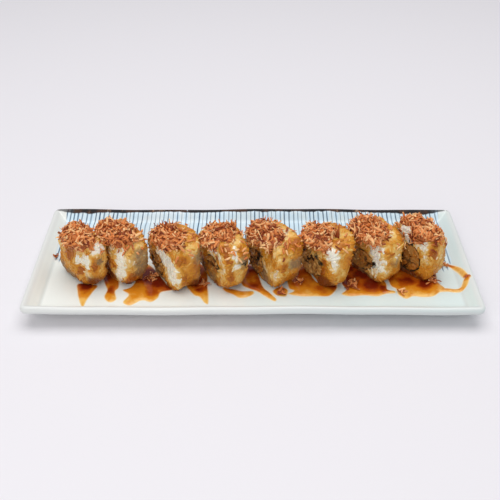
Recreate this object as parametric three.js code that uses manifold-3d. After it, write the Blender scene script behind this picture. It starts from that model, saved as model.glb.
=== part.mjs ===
// Plate of shrimp tempura roll: eight slices of an inside-out roll on a long dished stoneware plate.
// Millimetres, +Z up. +X runs along the plate and +Y to its striped back edge. The origin is on the
// table under the middle of the plate.
import * as THREE from "three";
import { mergeVertices } from "three/addons/utils/BufferGeometryUtils.js";
import Module from "manifold-3d";

const wasm = await Module();
wasm.setup();

// Plate
const PLATE_LENGTH = 340;
const PLATE_DEPTH = 137;
const PLATE_CORNER = 4.5; // corner radius seen from above
const RIM_HEIGHT = 18; // crest of the rim above the table
const RIM_THICKNESS = 6.5;
const WELL_DROP = 7; // crest of the rim down to the floor of the well
const SLOPE_TOP = 1.8; // how far inside the edge the crest lies
const SLOPE_FOOT = 13; // how far inside the edge the floor starts
const FLOOR_THICKNESS = 5.5;
const FOOT_INSET = 24;
const FOOT_WIDTH = 6;
const FOOT_RECESS = 3; // hollow inside the foot ring
const EDGE_WAVE = 0.5; // hand-made unevenness of the edge
const FLOOR = RIM_HEIGHT - WELL_DROP;

// Slices of roll
const ROLL_WIDTH = 46;
const ROLL_HEIGHT = 42;
const SQUARENESS = 2.8; // 2 is an oval section, and more is boxier
const BASE_SAG = 1.2; // how much the soft roll flattens where it rests
const NORI = 0.9; // thickness of the wet, layered seaweed
const GAP = 0.3; // air between pieces that touch
const GRAIN_BUMP = 0.5; // how far grains stand out of the rice
const ROUNDING = 4; // softness of the rice's cut edges
const CAP = 7; // thickness of the rice that closes an end piece

// Sauce and flakes
const SAUCE_DEPTH = 1;
const SAUCE_EDGE = 0.5;
const SHRED_WIDTH = 1.8;
const SHRED_THICKNESS = 0.9;
const HEAP_SUNK = 3; // how far the middle of a heap lies under the top of its slice

// Each slice stands on its rim. x and y are the middle of its base, turn is how far its front cut face
// is turned from straight left towards the viewer, and thick is its length along the roll. lean is how
// far the soft slice has slumped, its base running ahead of its top, and flare how much thicker it is at
// the very top, where its rear hangs back. The filling lies off centre: bore gives its middle across
// the slice and above the base, and its half width and half height.
// The first two are end pieces, whose front is closed by rice.
const SLICES = [
  { x: -131, y: -19.5, turn: 48, thick: 17, lean: 4, flare: 1, closed: true, bore: [0, 19, 12.5, 11] },
  { x: -101.1, y: -16.9, turn: 40, thick: 20.5, lean: 2, flare: 5, closed: true, bore: [0, 19, 12.5, 11] },
  { x: -59.6, y: -21.7, turn: 33, thick: 20, lean: 0, flare: 8, bore: [-9, 12.5, 10.5, 9] },
  { x: -23.7, y: -20.7, turn: 33, thick: 19, lean: 0, flare: 8, bore: [2.5, 18, 10, 7] },
  { x: 15.5, y: -17.6, turn: 33, thick: 20.5, lean: 0, flare: 9, bore: [-9, 12.5, 11.5, 10] },
  { x: 54.5, y: -19.8, turn: 31, thick: 16, lean: 0, flare: 12, bore: [-6.5, 12.5, 14.5, 9.5] },
  { x: 93.8, y: -12.5, turn: 35, thick: 19, lean: 0, flare: 5, bore: [-5, 13.5, 15, 9.5] },
  { x: 126.2, y: -10.3, turn: 42, thick: 18, lean: 0, flare: 4, bore: [0.5, 15.5, 12.5, 12.5] },
];

// Heap of fried flakes on each slice: half sizes across the roll and along it, the shift of its middle
// across and along, its height over the rice, and how many flakes stand out of it. A heap hangs over
// the front cut face.
const HEAPS = [
  { wide: 16.5, long: 12.5, across: 2.5, along: -1.5, high: 6, shreds: 7 },
  { wide: 19, long: 13.5, across: -1, along: -1.5, high: 5, shreds: 6 },
  { wide: 18, long: 13.5, across: -1, along: -2.5, high: 4, shreds: 6 },
  { wide: 15, long: 15.5, across: -1.5, along: -0.5, high: 4, shreds: 6 },
  { wide: 18, long: 14, across: -2, along: -5, high: 5.5, shreds: 7 },
  { wide: 17, long: 13.5, across: -0.5, along: -4, high: 5, shreds: 6 },
  { wide: 19, long: 14, across: -2.5, along: -4, high: 5, shreds: 6 },
  { wide: 18.5, long: 13.5, across: 2, along: -1, high: 6, shreds: 7 },
];

// One long flake stands upright at the back of the sixth heap: its slice, foot and length.
const UPRIGHT = { slice: 6, across: 10, along: 4, foot: 38, length: 16 };

// Outlines of the sauce pools, run from under the slices to the front of the plate.
const POOLS = [
  [
    [-134, -29], [-133, -40], [-130, -50], [-127, -57],
    [-125, -57], [-124, -50], [-121, -40], [-119, -31],
  ],
  [
    [-121, -6], [-114, -29], [-111, -37], [-112, -45], [-109, -51],
    [-105, -52], [-102, -48], [-104, -39], [-102, -31], [-108, -3],
  ],
  [
    [-92, -31], [-99, -37], [-94, -43], [-97, -52], [-91, -56], [-83, -50],
    [-76, -52], [-71, -47], [-69, -40], [-60, -37], [-64, -32], [-84, -3],
  ],
  [
    [-51, -7], [-51, -31], [-48, -38], [-44, -44], [-40, -46],
    [-36, -53], [-33, -54], [-33, -45], [-34, -34], [-37, -6],
  ],
  [
    [-23, -34], [-21, -39], [-15, -43], [-10, -47], [-4, -46],
    [1, -42], [0, -38], [-8, -38], [-14, -36],
  ],
  [
    [-13, -6], [-9, -29], [-4, -35], [3, -39], [9, -45],
    [16, -51], [18, -48], [13, -40], [8, -32], [1, -6],
  ],
  [[15, -38], [18, -44], [25, -45], [27, -37], [21, -33]],
  [
    [27, -6], [27, -33], [31, -38], [27, -42], [36, -45], [47, -45],
    [57, -45], [62, -40], [65, -33], [63, -25], [50, -27], [41, -4],
  ],
  [
    [66, 0], [68, -28], [71, -36], [67, -42], [73, -45], [84, -44], [94, -45],
    [101, -42], [108, -41], [108, -38], [103, -36], [103, -29], [99, -21], [82, 1],
  ],
  [
    [104, 1], [105, -29], [109, -36], [110, -43], [115, -48], [121, -45], [128, -46],
    [136, -45], [142, -40], [147, -35], [143, -27], [143, -15], [134, -17], [116, 3],
  ],
];

// Two trails of sauce that leave the last pool and meet in a drop on the right slope of the plate.
const TRAILS = [
  { width: 5, route: [[138, -38], [147, -37], [155, -38], [160.5, -35.5], [163.6, -29.5]] },
  { width: 4.4, route: [[140, -20], [141, -9], [148, -4], [156, -6], [161, -14], [164, -26]] },
];
const DROP_AT = [164.8, -28];
const DROP_RADIUS = 2.6;
const DROP_FLATNESS = 0.42;

// Flakes that fell beside the slices: place, how many shreds, their length, and how high they lie.
const FALLEN = [
  { x: -158, y: 6, shreds: 1, length: 8, lift: 0, turn: 0.2 },
  { x: -78, y: -22, shreds: 3, length: 9, lift: 1.4, turn: 0.3 },
  { x: -37, y: -30, shreds: 1, length: 11, lift: 1.4, turn: -0.1 },
  { x: 22, y: -41.5, shreds: 2, length: 9, lift: 1.4, turn: -0.4 },
  { x: 36, y: -28, shreds: 2, length: 9, lift: 1.4, turn: -0.3 },
  { x: 76, y: -32, shreds: 3, length: 11, lift: 1.4, turn: 0.1 },
  { x: 113, y: -40, shreds: 2, length: 7, lift: 1.4, turn: 0.9 },
  { x: 138, y: -27, shreds: 3, length: 8, lift: 1.4, turn: 0.3 },
  { x: 150.5, y: -4.5, shreds: 3, length: 10, lift: 1.6, turn: 0 },
];

// A repeatable random number between -1 and 1.
function randomFrom(seed) {
  let state = seed >>> 0;
  return () => {
    state = (Math.imul(state, 1664525) + 1013904223) >>> 0;
    return (state / 2 ** 32) * 2 - 1;
  };
}

function smoothStep(value) {
  const t = THREE.MathUtils.clamp(value, 0, 1);
  return t * t * (3 - 2 * t);
}

// Joins a geometry's shared vertices and makes it a solid whose faces point outwards.
function solidFrom(geometry) {
  const bare = new THREE.BufferGeometry();
  bare.setAttribute("position", geometry.getAttribute("position").clone());
  if (geometry.index) bare.setIndex(geometry.index.clone());
  const merged = mergeVertices(bare, 1e-3);
  const vertProperties = new Float32Array(merged.getAttribute("position").array);
  const corners = merged.index.array;
  const kept = [];
  for (let i = 0; i < corners.length; i += 3) {
    const [a, b, c] = [corners[i], corners[i + 1], corners[i + 2]];
    if (a !== b && b !== c && c !== a) kept.push(a, b, c);
  }
  const close = (triVerts) => new wasm.Manifold(new wasm.Mesh({ numProp: 3, vertProperties, triVerts }));
  const solid = close(new Uint32Array(kept));
  return solid.volume() > 0 ? solid : close(new Uint32Array(kept).reverse());
}

// The largest closed body of a solid: scraps that a cut leaves are dropped.
function largestBody(solid) {
  return solid.decompose().sort((a, b) => b.volume() - a.volume())[0];
}

function joined(solids) {
  return solids.reduce((whole, next) => whole.add(next));
}

function meshOf(solid, name, material) {
  const made = solid.getMesh();
  const geometry = new THREE.BufferGeometry();
  geometry.setAttribute("position", new THREE.BufferAttribute(new Float32Array(made.vertProperties), 3));
  geometry.setIndex(new THREE.BufferAttribute(new Uint32Array(made.triVerts), 1));
  geometry.computeVertexNormals();
  const mesh = new THREE.Mesh(geometry, material);
  mesh.name = name;
  return mesh;
}

// Height of the plate's upper surface: the crest of the rim, a soft slope, and the flat floor.
function plateTop(x, y) {
  const inset = Math.min(PLATE_LENGTH / 2 - Math.abs(x), PLATE_DEPTH / 2 - Math.abs(y));
  const slope = smoothStep((inset - SLOPE_TOP) / (SLOPE_FOOT - SLOPE_TOP));
  return RIM_HEIGHT + rimWave(x, y) * (1 - slope) - WELL_DROP * slope;
}

// The rim rises and dips a little along its length, as hand-formed stoneware does.
function rimWave(x, y) {
  return EDGE_WAVE * (Math.sin(x / 33 + 0.6) + 0.4 * Math.sin(x / 11 + y / 40));
}

// Points round a rounded rectangle that lies a given distance inside the plate's edge.
// Every ring has the same number of points, so rings join into bands.
const LONG_STEPS = 11;
const SHORT_STEPS = 4;
const CORNER_STEPS = 3;
function plateRing(inset) {
  const radius = PLATE_CORNER + 0.25 * inset;
  const halfX = PLATE_LENGTH / 2 - inset;
  const halfY = PLATE_DEPTH / 2 - inset;
  const points = [];
  const corners = [[1, -1, 3], [1, 1, 0], [-1, 1, 1], [-1, -1, 2]];
  corners.forEach(([sx, sy, quarter], i) => {
    const middle = new THREE.Vector2(sx * (halfX - radius), sy * (halfY - radius));
    for (let k = 0; k <= CORNER_STEPS; k += 1) {
      const angle = (quarter + k / CORNER_STEPS) * (Math.PI / 2);
      points.push(new THREE.Vector2(radius * Math.cos(angle), radius * Math.sin(angle)).add(middle));
    }
    const [nx, ny] = corners[(i + 1) % 4];
    const next = new THREE.Vector2(nx * (halfX - radius), ny * (halfY - radius));
    const facing = (quarter + 1) * Math.PI / 2;
    const outward = new THREE.Vector2(Math.cos(facing), Math.sin(facing));
    const steps = i % 2 === 0 ? SHORT_STEPS : LONG_STEPS;
    for (let k = 1; k < steps; k += 1) {
      points.push(middle.clone().lerp(next, k / steps).addScaledVector(outward, radius));
    }
  });
  return points;
}

// The plate is a lathe form whose round rings are drawn out into rounded rectangles.
function makePlate() {
  const slopeAt = (part) => SLOPE_TOP + (SLOPE_FOOT - SLOPE_TOP) * part;
  const under = FLOOR - FLOOR_THICKNESS;
  const profile = [
    { inset: null, z: FLOOR },
    { inset: SLOPE_FOOT + 20, z: FLOOR },
    { inset: SLOPE_FOOT, z: FLOOR },
    ...[0.78, 0.56, 0.34, 0].map((part) => ({ inset: slopeAt(part), top: true })),
    { inset: 0.7, z: RIM_HEIGHT - 0.7, rim: true },
    { inset: 0, z: RIM_HEIGHT - 2.2, rim: true },
    { inset: 0.2, z: RIM_HEIGHT - RIM_THICKNESS + 1.2, rim: true },
    { inset: 2, z: RIM_HEIGHT - RIM_THICKNESS, rim: true },
    { inset: FOOT_INSET / 2, z: under + 1.8 },
    { inset: FOOT_INSET, z: under },
    { inset: FOOT_INSET + 1, z: 0 },
    { inset: FOOT_INSET + FOOT_WIDTH, z: 0 },
    { inset: FOOT_INSET + FOOT_WIDTH + 1, z: FOOT_RECESS },
    { inset: null, z: FOOT_RECESS },
  ];
  const rings = profile.map((level) => (level.inset === null ? null : plateRing(level.inset)));
  const around = rings[1].length;
  const lathe = new THREE.LatheGeometry(
    profile.map((level, j) => new THREE.Vector2(level.inset === null ? 0 : 1, -j)),
    around,
  );
  const position = lathe.getAttribute("position");
  for (let i = 0; i <= around; i += 1) {
    profile.forEach((level, j) => {
      const point = rings[j] ? rings[j][i % around] : new THREE.Vector2(0, 0);
      const wave = level.rim ? rimWave(point.x, point.y) : 0;
      const z = level.top ? plateTop(point.x, point.y) : level.z + wave;
      position.setXYZ(i * profile.length + j, point.x, point.y, z);
    });
  }
  return solidFrom(lathe);
}

// Half width of a slice along a direction, which swells and dips a little so that no two are alike.
function rollShape(angle, seed) {
  return 1 + 0.018 * Math.sin(2 * angle + seed) + 0.014 * Math.sin(3 * angle + 2.3 * seed);
}

// Sine or cosine drawn out towards 1, which turns a round section into a boxier one.
function squared(value) {
  return Math.sign(value) * Math.abs(value) ** (2 / SQUARENESS);
}

// Point of the rounded outside of a slice, grown by some millimetres. part shrinks it to the middle.
function outsidePoint(seed, angle, grow = 0, part = 1) {
  const shape = rollShape(angle, seed) * part;
  return {
    x: (ROLL_WIDTH / 2 + grow) * shape * squared(Math.sin(angle)),
    z: (ROLL_HEIGHT / 2 + grow) * shape * squared(Math.cos(angle)) + ROLL_HEIGHT / 2 - BASE_SAG,
  };
}

// Point of the off-centre oval hole of a slice, some millimetres inside its edge.
function borePoint(slice, angle, inset = 0, part = 1) {
  const [across, up, wide, high] = slice.bore;
  return {
    x: across + (wide - inset) * part * Math.sin(angle),
    z: up + (high - inset) * part * Math.cos(angle),
  };
}

// Point of the rice between its hole and its outside: a share of the way, or millimetres from outside.
function wallPoint(slice, seed, angle, level) {
  const inner = borePoint(slice, angle);
  const outer = outsidePoint(seed, angle);
  const wall = Math.hypot(outer.x - inner.x, outer.z - inner.z);
  const share = level.share ?? Math.max(0.4, 1 - level.inset / wall);
  return { x: inner.x + (outer.x - inner.x) * share, z: inner.z + (outer.z - inner.z) * share };
}

// Carries a profile round the roll's axis, local Y: place gives each level's point at each angle.
// The slice is flat where it meets the plate and slumps forwards by its lean. Its rear hangs back by its
// flare times the cube of the height, so that only the top reaches towards the next slice.
function turnedRoll(levels, sides, slice, place, lowest = 0) {
  const lathe = new THREE.LatheGeometry(levels.map((level, j) => new THREE.Vector2(1, -j)), sides);
  const position = lathe.getAttribute("position");
  for (let i = 0; i <= sides; i += 1) {
    const side = i % sides;
    levels.forEach((level, j) => {
      const point = place(level, (side / sides) * Math.PI * 2, side, j);
      const z = Math.max(point.z, lowest);
      const height = z / ROLL_HEIGHT;
      const rear = 0.5 + point.y / slice.thick;
      const slump = slice.lean * (height - 0.5) + slice.flare * rear * height ** 3;
      position.setXYZ(i * levels.length + j, point.x, point.y + slump, z);
    });
  }
  return lathe;
}

// Rice: a thick ring of vinegared rice with grains standing out of it, or a closed cap on an end piece.
const RICE_SIDES = 24;
function makeRice(slice, seed) {
  const h = slice.thick / 2;
  const back = [
    { inset: 0, y: 0 },
    { inset: 0, y: h - ROUNDING },
    { inset: 1.2, y: h - 1.2 },
    { inset: ROUNDING, y: h },
    { share: 0.25, y: h },
    { share: 0, y: h },
  ];
  const open = [
    { share: 0, y: -h },
    { share: 0.25, y: -h },
    { inset: ROUNDING, y: -h },
    { inset: 1.2, y: -h + 1.2 },
    { inset: 0, y: -h + ROUNDING },
    ...back,
    { share: 0, y: -h },
  ];
  const cap = [
    { cap: 0, y: -h },
    { cap: 0.3, y: -h + 0.3 },
    { cap: 0.56, y: -h + 1 },
    { cap: 0.78, y: -h + 2 },
    { cap: 0.93, y: -h + 3.2 },
    ...back,
    { share: 0, y: -h + CAP },
    { hole: 0, y: -h + CAP },
  ];
  const random = randomFrom(seed * 977 + 13);
  const bumps = new Map();
  const place = (level, angle, side, j) => {
    const { y } = level;
    if (level.hole !== undefined) return { ...borePoint(slice, angle, 0, level.hole), y };
    if (level.cap === 0) return { ...outsidePoint(seed, angle, 0, 0), y };
    const capped = level.cap !== undefined;
    const point = capped ? outsidePoint(seed, angle, 0, level.cap) : wallPoint(slice, seed, angle, level);
    if (level.share === 0) return { ...point, y };
    const key = side * 100 + j;
    if (!bumps.has(key)) bumps.set(key, [random(), random()]);
    const [across, along] = bumps.get(key);
    const stand = (across - 0.3) * GRAIN_BUMP * (level.share ? 0.4 : 1);
    return {
      x: point.x + stand * Math.sin(angle),
      z: point.z + stand * Math.cos(angle),
      y: y + (y / h) * (along - 0.3) * GRAIN_BUMP,
    };
  };
  return solidFrom(turnedRoll(slice.closed ? cap : open, RICE_SIDES, slice, place));
}

// The room that a slice takes, a little larger than its rice, which sauce and flakes keep clear of.
// Its sides are drawn round the rice, so that their flats stay outside it, and it runs below its base.
function sliceRoom(slice, seed, sides) {
  const grow = GRAIN_BUMP + (ROLL_WIDTH / 2) * (1 / Math.cos(Math.PI / sides) - 1);
  const h = slice.thick / 2 + GRAIN_BUMP;
  const levels = [{ part: 0, y: -h }, { part: 1, y: -h }, { part: 1, y: h }, { part: 0, y: h }];
  const place = (level, angle) => ({ ...outsidePoint(seed, angle, grow, level.part), y: level.y });
  return turnedRoll(levels, sides, slice, place, -ROLL_HEIGHT);
}

// Seaweed: a thin oval tube between the rice and the filling.
function makeNori(slice) {
  const h = slice.thick / 2 - 0.3;
  const front = slice.closed ? -slice.thick / 2 + CAP + GAP : -h;
  const levels = [
    { inset: GAP + NORI, y: front },
    { inset: GAP, y: front },
    { inset: GAP, y: h },
    { inset: GAP + NORI, y: h },
    { inset: GAP + NORI, y: front },
  ];
  const place = (level, angle) => ({ ...borePoint(slice, angle, level.inset), y: level.y });
  return solidFrom(turnedRoll(levels, 16, slice, place));
}

// Tempura: battered shrimp that fills the roll, craggy where it is cut.
const BATTER_INSET = 2 * GAP + NORI + 0.15;
function makeTempura(slice, seed) {
  const h = slice.thick / 2;
  const front = slice.closed ? -h + CAP + GAP : -h - 0.5;
  const levels = [
    { part: 0, y: front },
    { part: 0.55, y: front },
    { part: 1, y: front + 0.6 },
    { part: 1, y: 0.5 },
    { part: 1, y: h - 0.6 },
    { part: 0.55, y: h },
    { part: 0, y: h },
  ];
  const random = randomFrom(seed * 331 + 7);
  return solidFrom(turnedRoll(levels, 14, slice, (level, angle, side) => {
    const inward = 0.5 + 0.5 * random();
    const along = random();
    const buried = slice.closed && level.y < 0;
    const { y } = level;
    if (level.part === 0) return { ...borePoint(slice, angle, BATTER_INSET, 0), y };
    if (side === 0) return { ...borePoint(slice, angle, BATTER_INSET, level.part * 0.96), y };
    const part = level.part * (1 - 0.12 * inward);
    return { ...borePoint(slice, angle, BATTER_INSET, part), y: y + (buried ? 0 : 0.5 * along) };
  }));
}

// One curled flake: a flat strip bent along a short arc, lying at a heading and tilt.
function shredGeometry(centre, heading, tilt, length, bend, grow = 0) {
  const level = Math.cos(tilt);
  const along = new THREE.Vector3(Math.cos(heading) * level, Math.sin(heading) * level, Math.sin(tilt));
  const half = length / 2 + grow;
  const path = new THREE.QuadraticBezierCurve3(
    centre.clone().addScaledVector(along, -half),
    centre.clone().add(new THREE.Vector3(0, 0, bend)),
    centre.clone().addScaledVector(along, half),
  );
  const w = SHRED_WIDTH / 2 + grow;
  const t = SHRED_THICKNESS / 2 + grow;
  const corners = [[-w, -t], [w, -t], [w, t], [-w, t]];
  const section = new THREE.Shape(corners.map(([a, b]) => new THREE.Vector2(a, b)));
  return new THREE.ExtrudeGeometry(section, { extrudePath: path, steps: 2, curveSegments: 1 });
}

// Heap of fried flakes in its slice's own frame: a low uneven mound over the top of the slice with
// curled flakes fused on. A heap that is grown is the room that its neighbour keeps clear of.
function heapSolid(heap, seed, matrix, grow) {
  const random = randomFrom(seed * 613 + 41);
  const middle = ROLL_HEIGHT - BASE_SAG - HEAP_SUNK;
  const rise = heap.high + HEAP_SUNK;
  const mound = new THREE.SphereGeometry(1, 10, 6);
  const position = mound.getAttribute("position");
  const lumps = new Map();
  for (let i = 0; i < position.count; i += 1) {
    const key = [0, 1, 2].map((k) => Math.round(position.getComponent(i, k) * 1000)).join(" ");
    if (!lumps.has(key)) lumps.set(key, 1 + 0.1 * random());
    const lump = lumps.get(key);
    position.setXYZ(
      i,
      heap.across + (heap.wide + grow) * position.getX(i) * lump,
      heap.along + (heap.long + grow) * position.getY(i) * lump,
      middle + (rise + grow) * position.getZ(i) * lump,
    );
  }
  const pieces = [mound];
  for (let k = 0; k < heap.shreds; k += 1) {
    const turn = (k / heap.shreds) * Math.PI * 2 + 0.5 * random();
    const out = 0.45 + 0.35 * Math.abs(random());
    const centre = new THREE.Vector3(
      heap.across + heap.wide * out * Math.cos(turn),
      heap.along + heap.long * out * Math.sin(turn),
      middle + rise * Math.sqrt(1 - out * out) - 0.4,
    );
    const heading = turn + 1.2 + random();
    const tilt = 0.35 * random();
    pieces.push(shredGeometry(centre, heading, tilt, 6.5 + 2 * random(), 2.2, grow));
  }
  if (seed === UPRIGHT.slice) {
    const centre = new THREE.Vector3(UPRIGHT.across, UPRIGHT.along, UPRIGHT.foot + UPRIGHT.length / 2);
    pieces.push(shredGeometry(centre, 0, 1.5, UPRIGHT.length, 0, grow));
  }
  return joined(pieces.map((piece) => solidFrom(piece.applyMatrix4(matrix))));
}

// Stands a slice on the floor of the plate.
function placeSlice(group, slice) {
  group.position.set(slice.x, slice.y, FLOOR + GAP);
  group.rotation.z = THREE.MathUtils.degToRad(slice.turn - 90);
  group.updateMatrix();
}

// Sauce: a shallow pool with a rounded edge that follows the plate's surface.
function poolSolid(outline) {
  const curve = new THREE.CatmullRomCurve3(outline.map(([x, y]) => new THREE.Vector3(x, y, 0)), true);
  const points = curve.getSpacedPoints(Math.round(outline.length * 1.6)).slice(0, -1);
  const shape = new THREE.Shape(points.map((p) => new THREE.Vector2(p.x, p.y)));
  const geometry = new THREE.ExtrudeGeometry(shape, {
    depth: SAUCE_DEPTH - SAUCE_EDGE,
    bevelEnabled: true,
    bevelThickness: SAUCE_EDGE,
    bevelSize: SAUCE_EDGE,
    bevelOffset: -SAUCE_EDGE,
    bevelSegments: 1,
    curveSegments: 1,
  });
  const position = geometry.getAttribute("position");
  for (let i = 0; i < position.count; i += 1) position.setZ(i, Math.max(position.getZ(i), 0));
  return solidFrom(draped(geometry, 0));
}

// Lays a geometry that was made on a flat ground at height 0 on the plate, lifted by the gap and more.
function draped(geometry, lift) {
  const position = geometry.getAttribute("position");
  for (let i = 0; i < position.count; i += 1) {
    const surface = plateTop(position.getX(i), position.getY(i));
    position.setZ(i, surface + GAP + lift + position.getZ(i));
  }
  return geometry;
}

// A trail of sauce: a flat round-backed strip along a curve on the plate.
function trailSolid({ width, route }) {
  const curve = new THREE.CatmullRomCurve3(route.map(([x, y]) => new THREE.Vector3(x, y, 0)));
  const w = width / 2;
  const t = SAUCE_DEPTH / 2;
  const corners = [[t, -w], [t, w], [-t * 0.2, w], [-t, 0], [-t * 0.2, -w]];
  const section = new THREE.Shape(corners.map(([a, b]) => new THREE.Vector2(a, b)));
  const strip = new THREE.ExtrudeGeometry(section, { extrudePath: curve, steps: 9, curveSegments: 1 });
  return solidFrom(draped(strip, t));
}

const glaze = new THREE.MeshStandardMaterial({ color: 0xdfe5df, roughness: 0.15, metalness: 0 });
const riceGrain = new THREE.MeshStandardMaterial({ color: 0xd9b98a, roughness: 0.45, metalness: 0 });
const seaweed = new THREE.MeshStandardMaterial({ color: 0x1c1a12, roughness: 0.5, metalness: 0 });
const batter = new THREE.MeshStandardMaterial({ color: 0x6b4a22, roughness: 0.6, metalness: 0 });
const friedFlake = new THREE.MeshStandardMaterial({ color: 0xc0673a, roughness: 0.55, metalness: 0 });
const sauce = new THREE.MeshStandardMaterial({ color: 0xb0641c, roughness: 0.12, metalness: 0 });

const tray = new THREE.Group();
tray.add(meshOf(makePlate(), "plate", glaze));

const rooms = [];
const places = [];
SLICES.forEach((slice, k) => {
  const number = k + 1;
  const group = new THREE.Group();
  placeSlice(group, slice);
  group.add(meshOf(makeRice(slice, number), "rice_" + number, riceGrain));
  group.add(meshOf(makeNori(slice), "nori_" + number, seaweed));
  group.add(meshOf(makeTempura(slice, number), "tempura_" + number, batter));
  tray.add(group);
  places.push(group.matrix);
  rooms.push(solidFrom(sliceRoom(slice, number, 18).applyMatrix4(group.matrix)));
});
const allRooms = joined(rooms);

HEAPS.forEach((heap, k) => {
  const number = k + 1;
  let flakes = heapSolid(heap, number, places[k], 0).subtract(allRooms);
  if (k > 0) flakes = flakes.subtract(heapSolid(HEAPS[k - 1], k, places[k - 1], GAP));
  tray.add(meshOf(largestBody(flakes), "flakes_" + number, friedFlake));
});

POOLS.forEach((outline, k) => {
  const parts = [poolSolid(outline)];
  if (k === POOLS.length - 1) {
    TRAILS.forEach((route) => parts.push(trailSolid(route)));
    const [x, y] = DROP_AT;
    const drop = new THREE.SphereGeometry(DROP_RADIUS, 9, 5);
    drop.rotateX(Math.PI / 2);
    drop.scale(1, 1, DROP_FLATNESS);
    drop.translate(x, y, 0);
    parts.push(solidFrom(draped(drop, DROP_RADIUS * DROP_FLATNESS)));
  }
  tray.add(meshOf(largestBody(joined(parts).subtract(allRooms)), "sauce_" + (k + 1), sauce));
});

FALLEN.forEach((flake, k) => {
  const random = randomFrom(k * 71 + 5);
  const pieces = [];
  for (let n = 0; n < flake.shreds; n += 1) {
    const centre = new THREE.Vector3(flake.x, flake.y, flake.lift + SHRED_THICKNESS / 2 + n * 0.5);
    const heading = flake.turn + n * 1.1 + 0.2 * random();
    pieces.push(shredGeometry(centre, heading, 0, flake.length * (1 - 0.12 * n), 1));
  }
  const solids = pieces.map((piece) => solidFrom(draped(piece, 0.1)));
  tray.add(meshOf(largestBody(joined(solids).subtract(allRooms)), "fallen_" + (k + 1), friedFlake));
});

export default tray;
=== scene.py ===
import math

import bpy
import numpy as np
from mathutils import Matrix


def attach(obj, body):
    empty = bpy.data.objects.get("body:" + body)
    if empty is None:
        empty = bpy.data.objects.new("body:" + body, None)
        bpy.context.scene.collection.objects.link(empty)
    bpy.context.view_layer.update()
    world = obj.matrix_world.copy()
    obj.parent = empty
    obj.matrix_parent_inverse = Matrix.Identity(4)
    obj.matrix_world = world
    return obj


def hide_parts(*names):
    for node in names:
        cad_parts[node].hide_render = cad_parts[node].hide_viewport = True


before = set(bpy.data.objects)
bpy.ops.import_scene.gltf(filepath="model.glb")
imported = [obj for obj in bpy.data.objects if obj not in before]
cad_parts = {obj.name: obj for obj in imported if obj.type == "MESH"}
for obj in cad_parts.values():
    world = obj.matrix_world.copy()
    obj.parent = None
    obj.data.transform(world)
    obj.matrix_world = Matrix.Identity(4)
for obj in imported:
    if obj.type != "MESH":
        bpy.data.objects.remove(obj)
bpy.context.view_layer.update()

# Plate: a long tray of pressed stoneware with a shallow flat well, a raised rim and a foot ring.
# It is dipped in a pale grey-green glaze. Blue stripes and a dark line along the back rim are brushed
# on under the glaze. All sizes are millimetres, and +Y is the striped back edge.
MM = 0.001
PLATE_LENGTH = 340
PLATE_DEPTH = 137
PLATE_CORNER = 4.5
RIM_HEIGHT = 18
WELL_DROP = 7
SLOPE_TOP = 1.8
SLOPE_FOOT = 13
EDGE_WAVE = 0.5
FLOOR = RIM_HEIGHT - WELL_DROP
WELL_INSETS = [50, 36, 24, 17]
SLOPE_RINGS = 25
UNDER_RIM = [
    [1.8, 18], [0.8, 17.5], [0.1, 16.2], [0.1, 13.4], [1.4, 11.7], [6, 9.5], [12, 7.3], [22, 5.7],
    [24.2, 5.3], [24.9, 3], [25.1, 0.5], [25.8, 0], [29.4, 0], [30.1, 0.4], [30.6, 2.4], [31.6, 3], [44, 3],
]
UNDER_STEPS = 4
CORNER_STEPS = 10
LONG_STEPS = 110
SHORT_STEPS = 44


def smooth_step(value):
    """0 below 0, 1 above 1, and three times the square less twice the cube between."""
    t = np.clip(value, 0, 1)
    return t * t * (3 - 2 * t)


def through(points, steps, closed=False):
    """Smooth curve through points: between two of them it is the cubic whose slope at each is half of
    the step from the point before it to the point after it."""
    p = np.asarray(points, float)
    ring = np.vstack([p[-1:], p, p[:2]]) if closed else np.vstack([2 * p[0] - p[1], p, 2 * p[-1] - p[-2]])
    before, start, end, after = ring[:-3, None], ring[1:-2, None], ring[2:-1, None], ring[3:, None]
    t = (np.arange(steps) / steps)[None, :, None]
    curve = (
        start
        + 0.5 * t * (end - before)
        + t**2 * (before - 2.5 * start + 2 * end - 0.5 * after)
        + t**3 * (1.5 * start - 1.5 * end + 0.5 * after - 0.5 * before)
    ).reshape(-1, p.shape[1])
    return curve if closed else np.vstack([curve, p[-1:]])


def make_piece(name, points, faces, tones=None, flat=()):
    """Puts a closed surface into Blender. Points are in millimetres, faces are arrays of three or four
    corners, turned outwards by the sign of the volume that they enclose, and each name in tones holds
    one number for each point. The arrays of faces whose numbers are in flat aren't shaded smooth."""
    volume = 0
    for face in faces:
        for k in range(1, face.shape[1] - 1):
            a, b, c = points[face[:, 0]], points[face[:, k]], points[face[:, k + 1]]
            volume += np.einsum("ij,ij->", a, np.cross(b, c))
    if volume < 0:
        faces = [face[:, ::-1] for face in faces]
    corners = np.concatenate([face.ravel() for face in faces])
    sides = np.concatenate([np.full(len(face), face.shape[1]) for face in faces])
    mesh = bpy.data.meshes.new(name)
    mesh.vertices.add(len(points))
    mesh.vertices.foreach_set("co", (points * MM).ravel())
    mesh.loops.add(len(corners))
    mesh.loops.foreach_set("vertex_index", corners)
    mesh.polygons.add(len(sides))
    mesh.polygons.foreach_set("loop_start", np.cumsum(sides) - sides)
    smooth = np.concatenate([np.full(len(face), k not in flat) for k, face in enumerate(faces)])
    mesh.polygons.foreach_set("use_smooth", smooth)
    mesh.update(calc_edges=True)
    for tone, values in (tones or {}).items():
        mesh.attributes.new(tone, "FLOAT", "POINT").data.foreach_set("value", np.ravel(values))
    piece = bpy.data.objects.new(name, mesh)
    bpy.context.scene.collection.objects.link(piece)
    return piece


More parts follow.
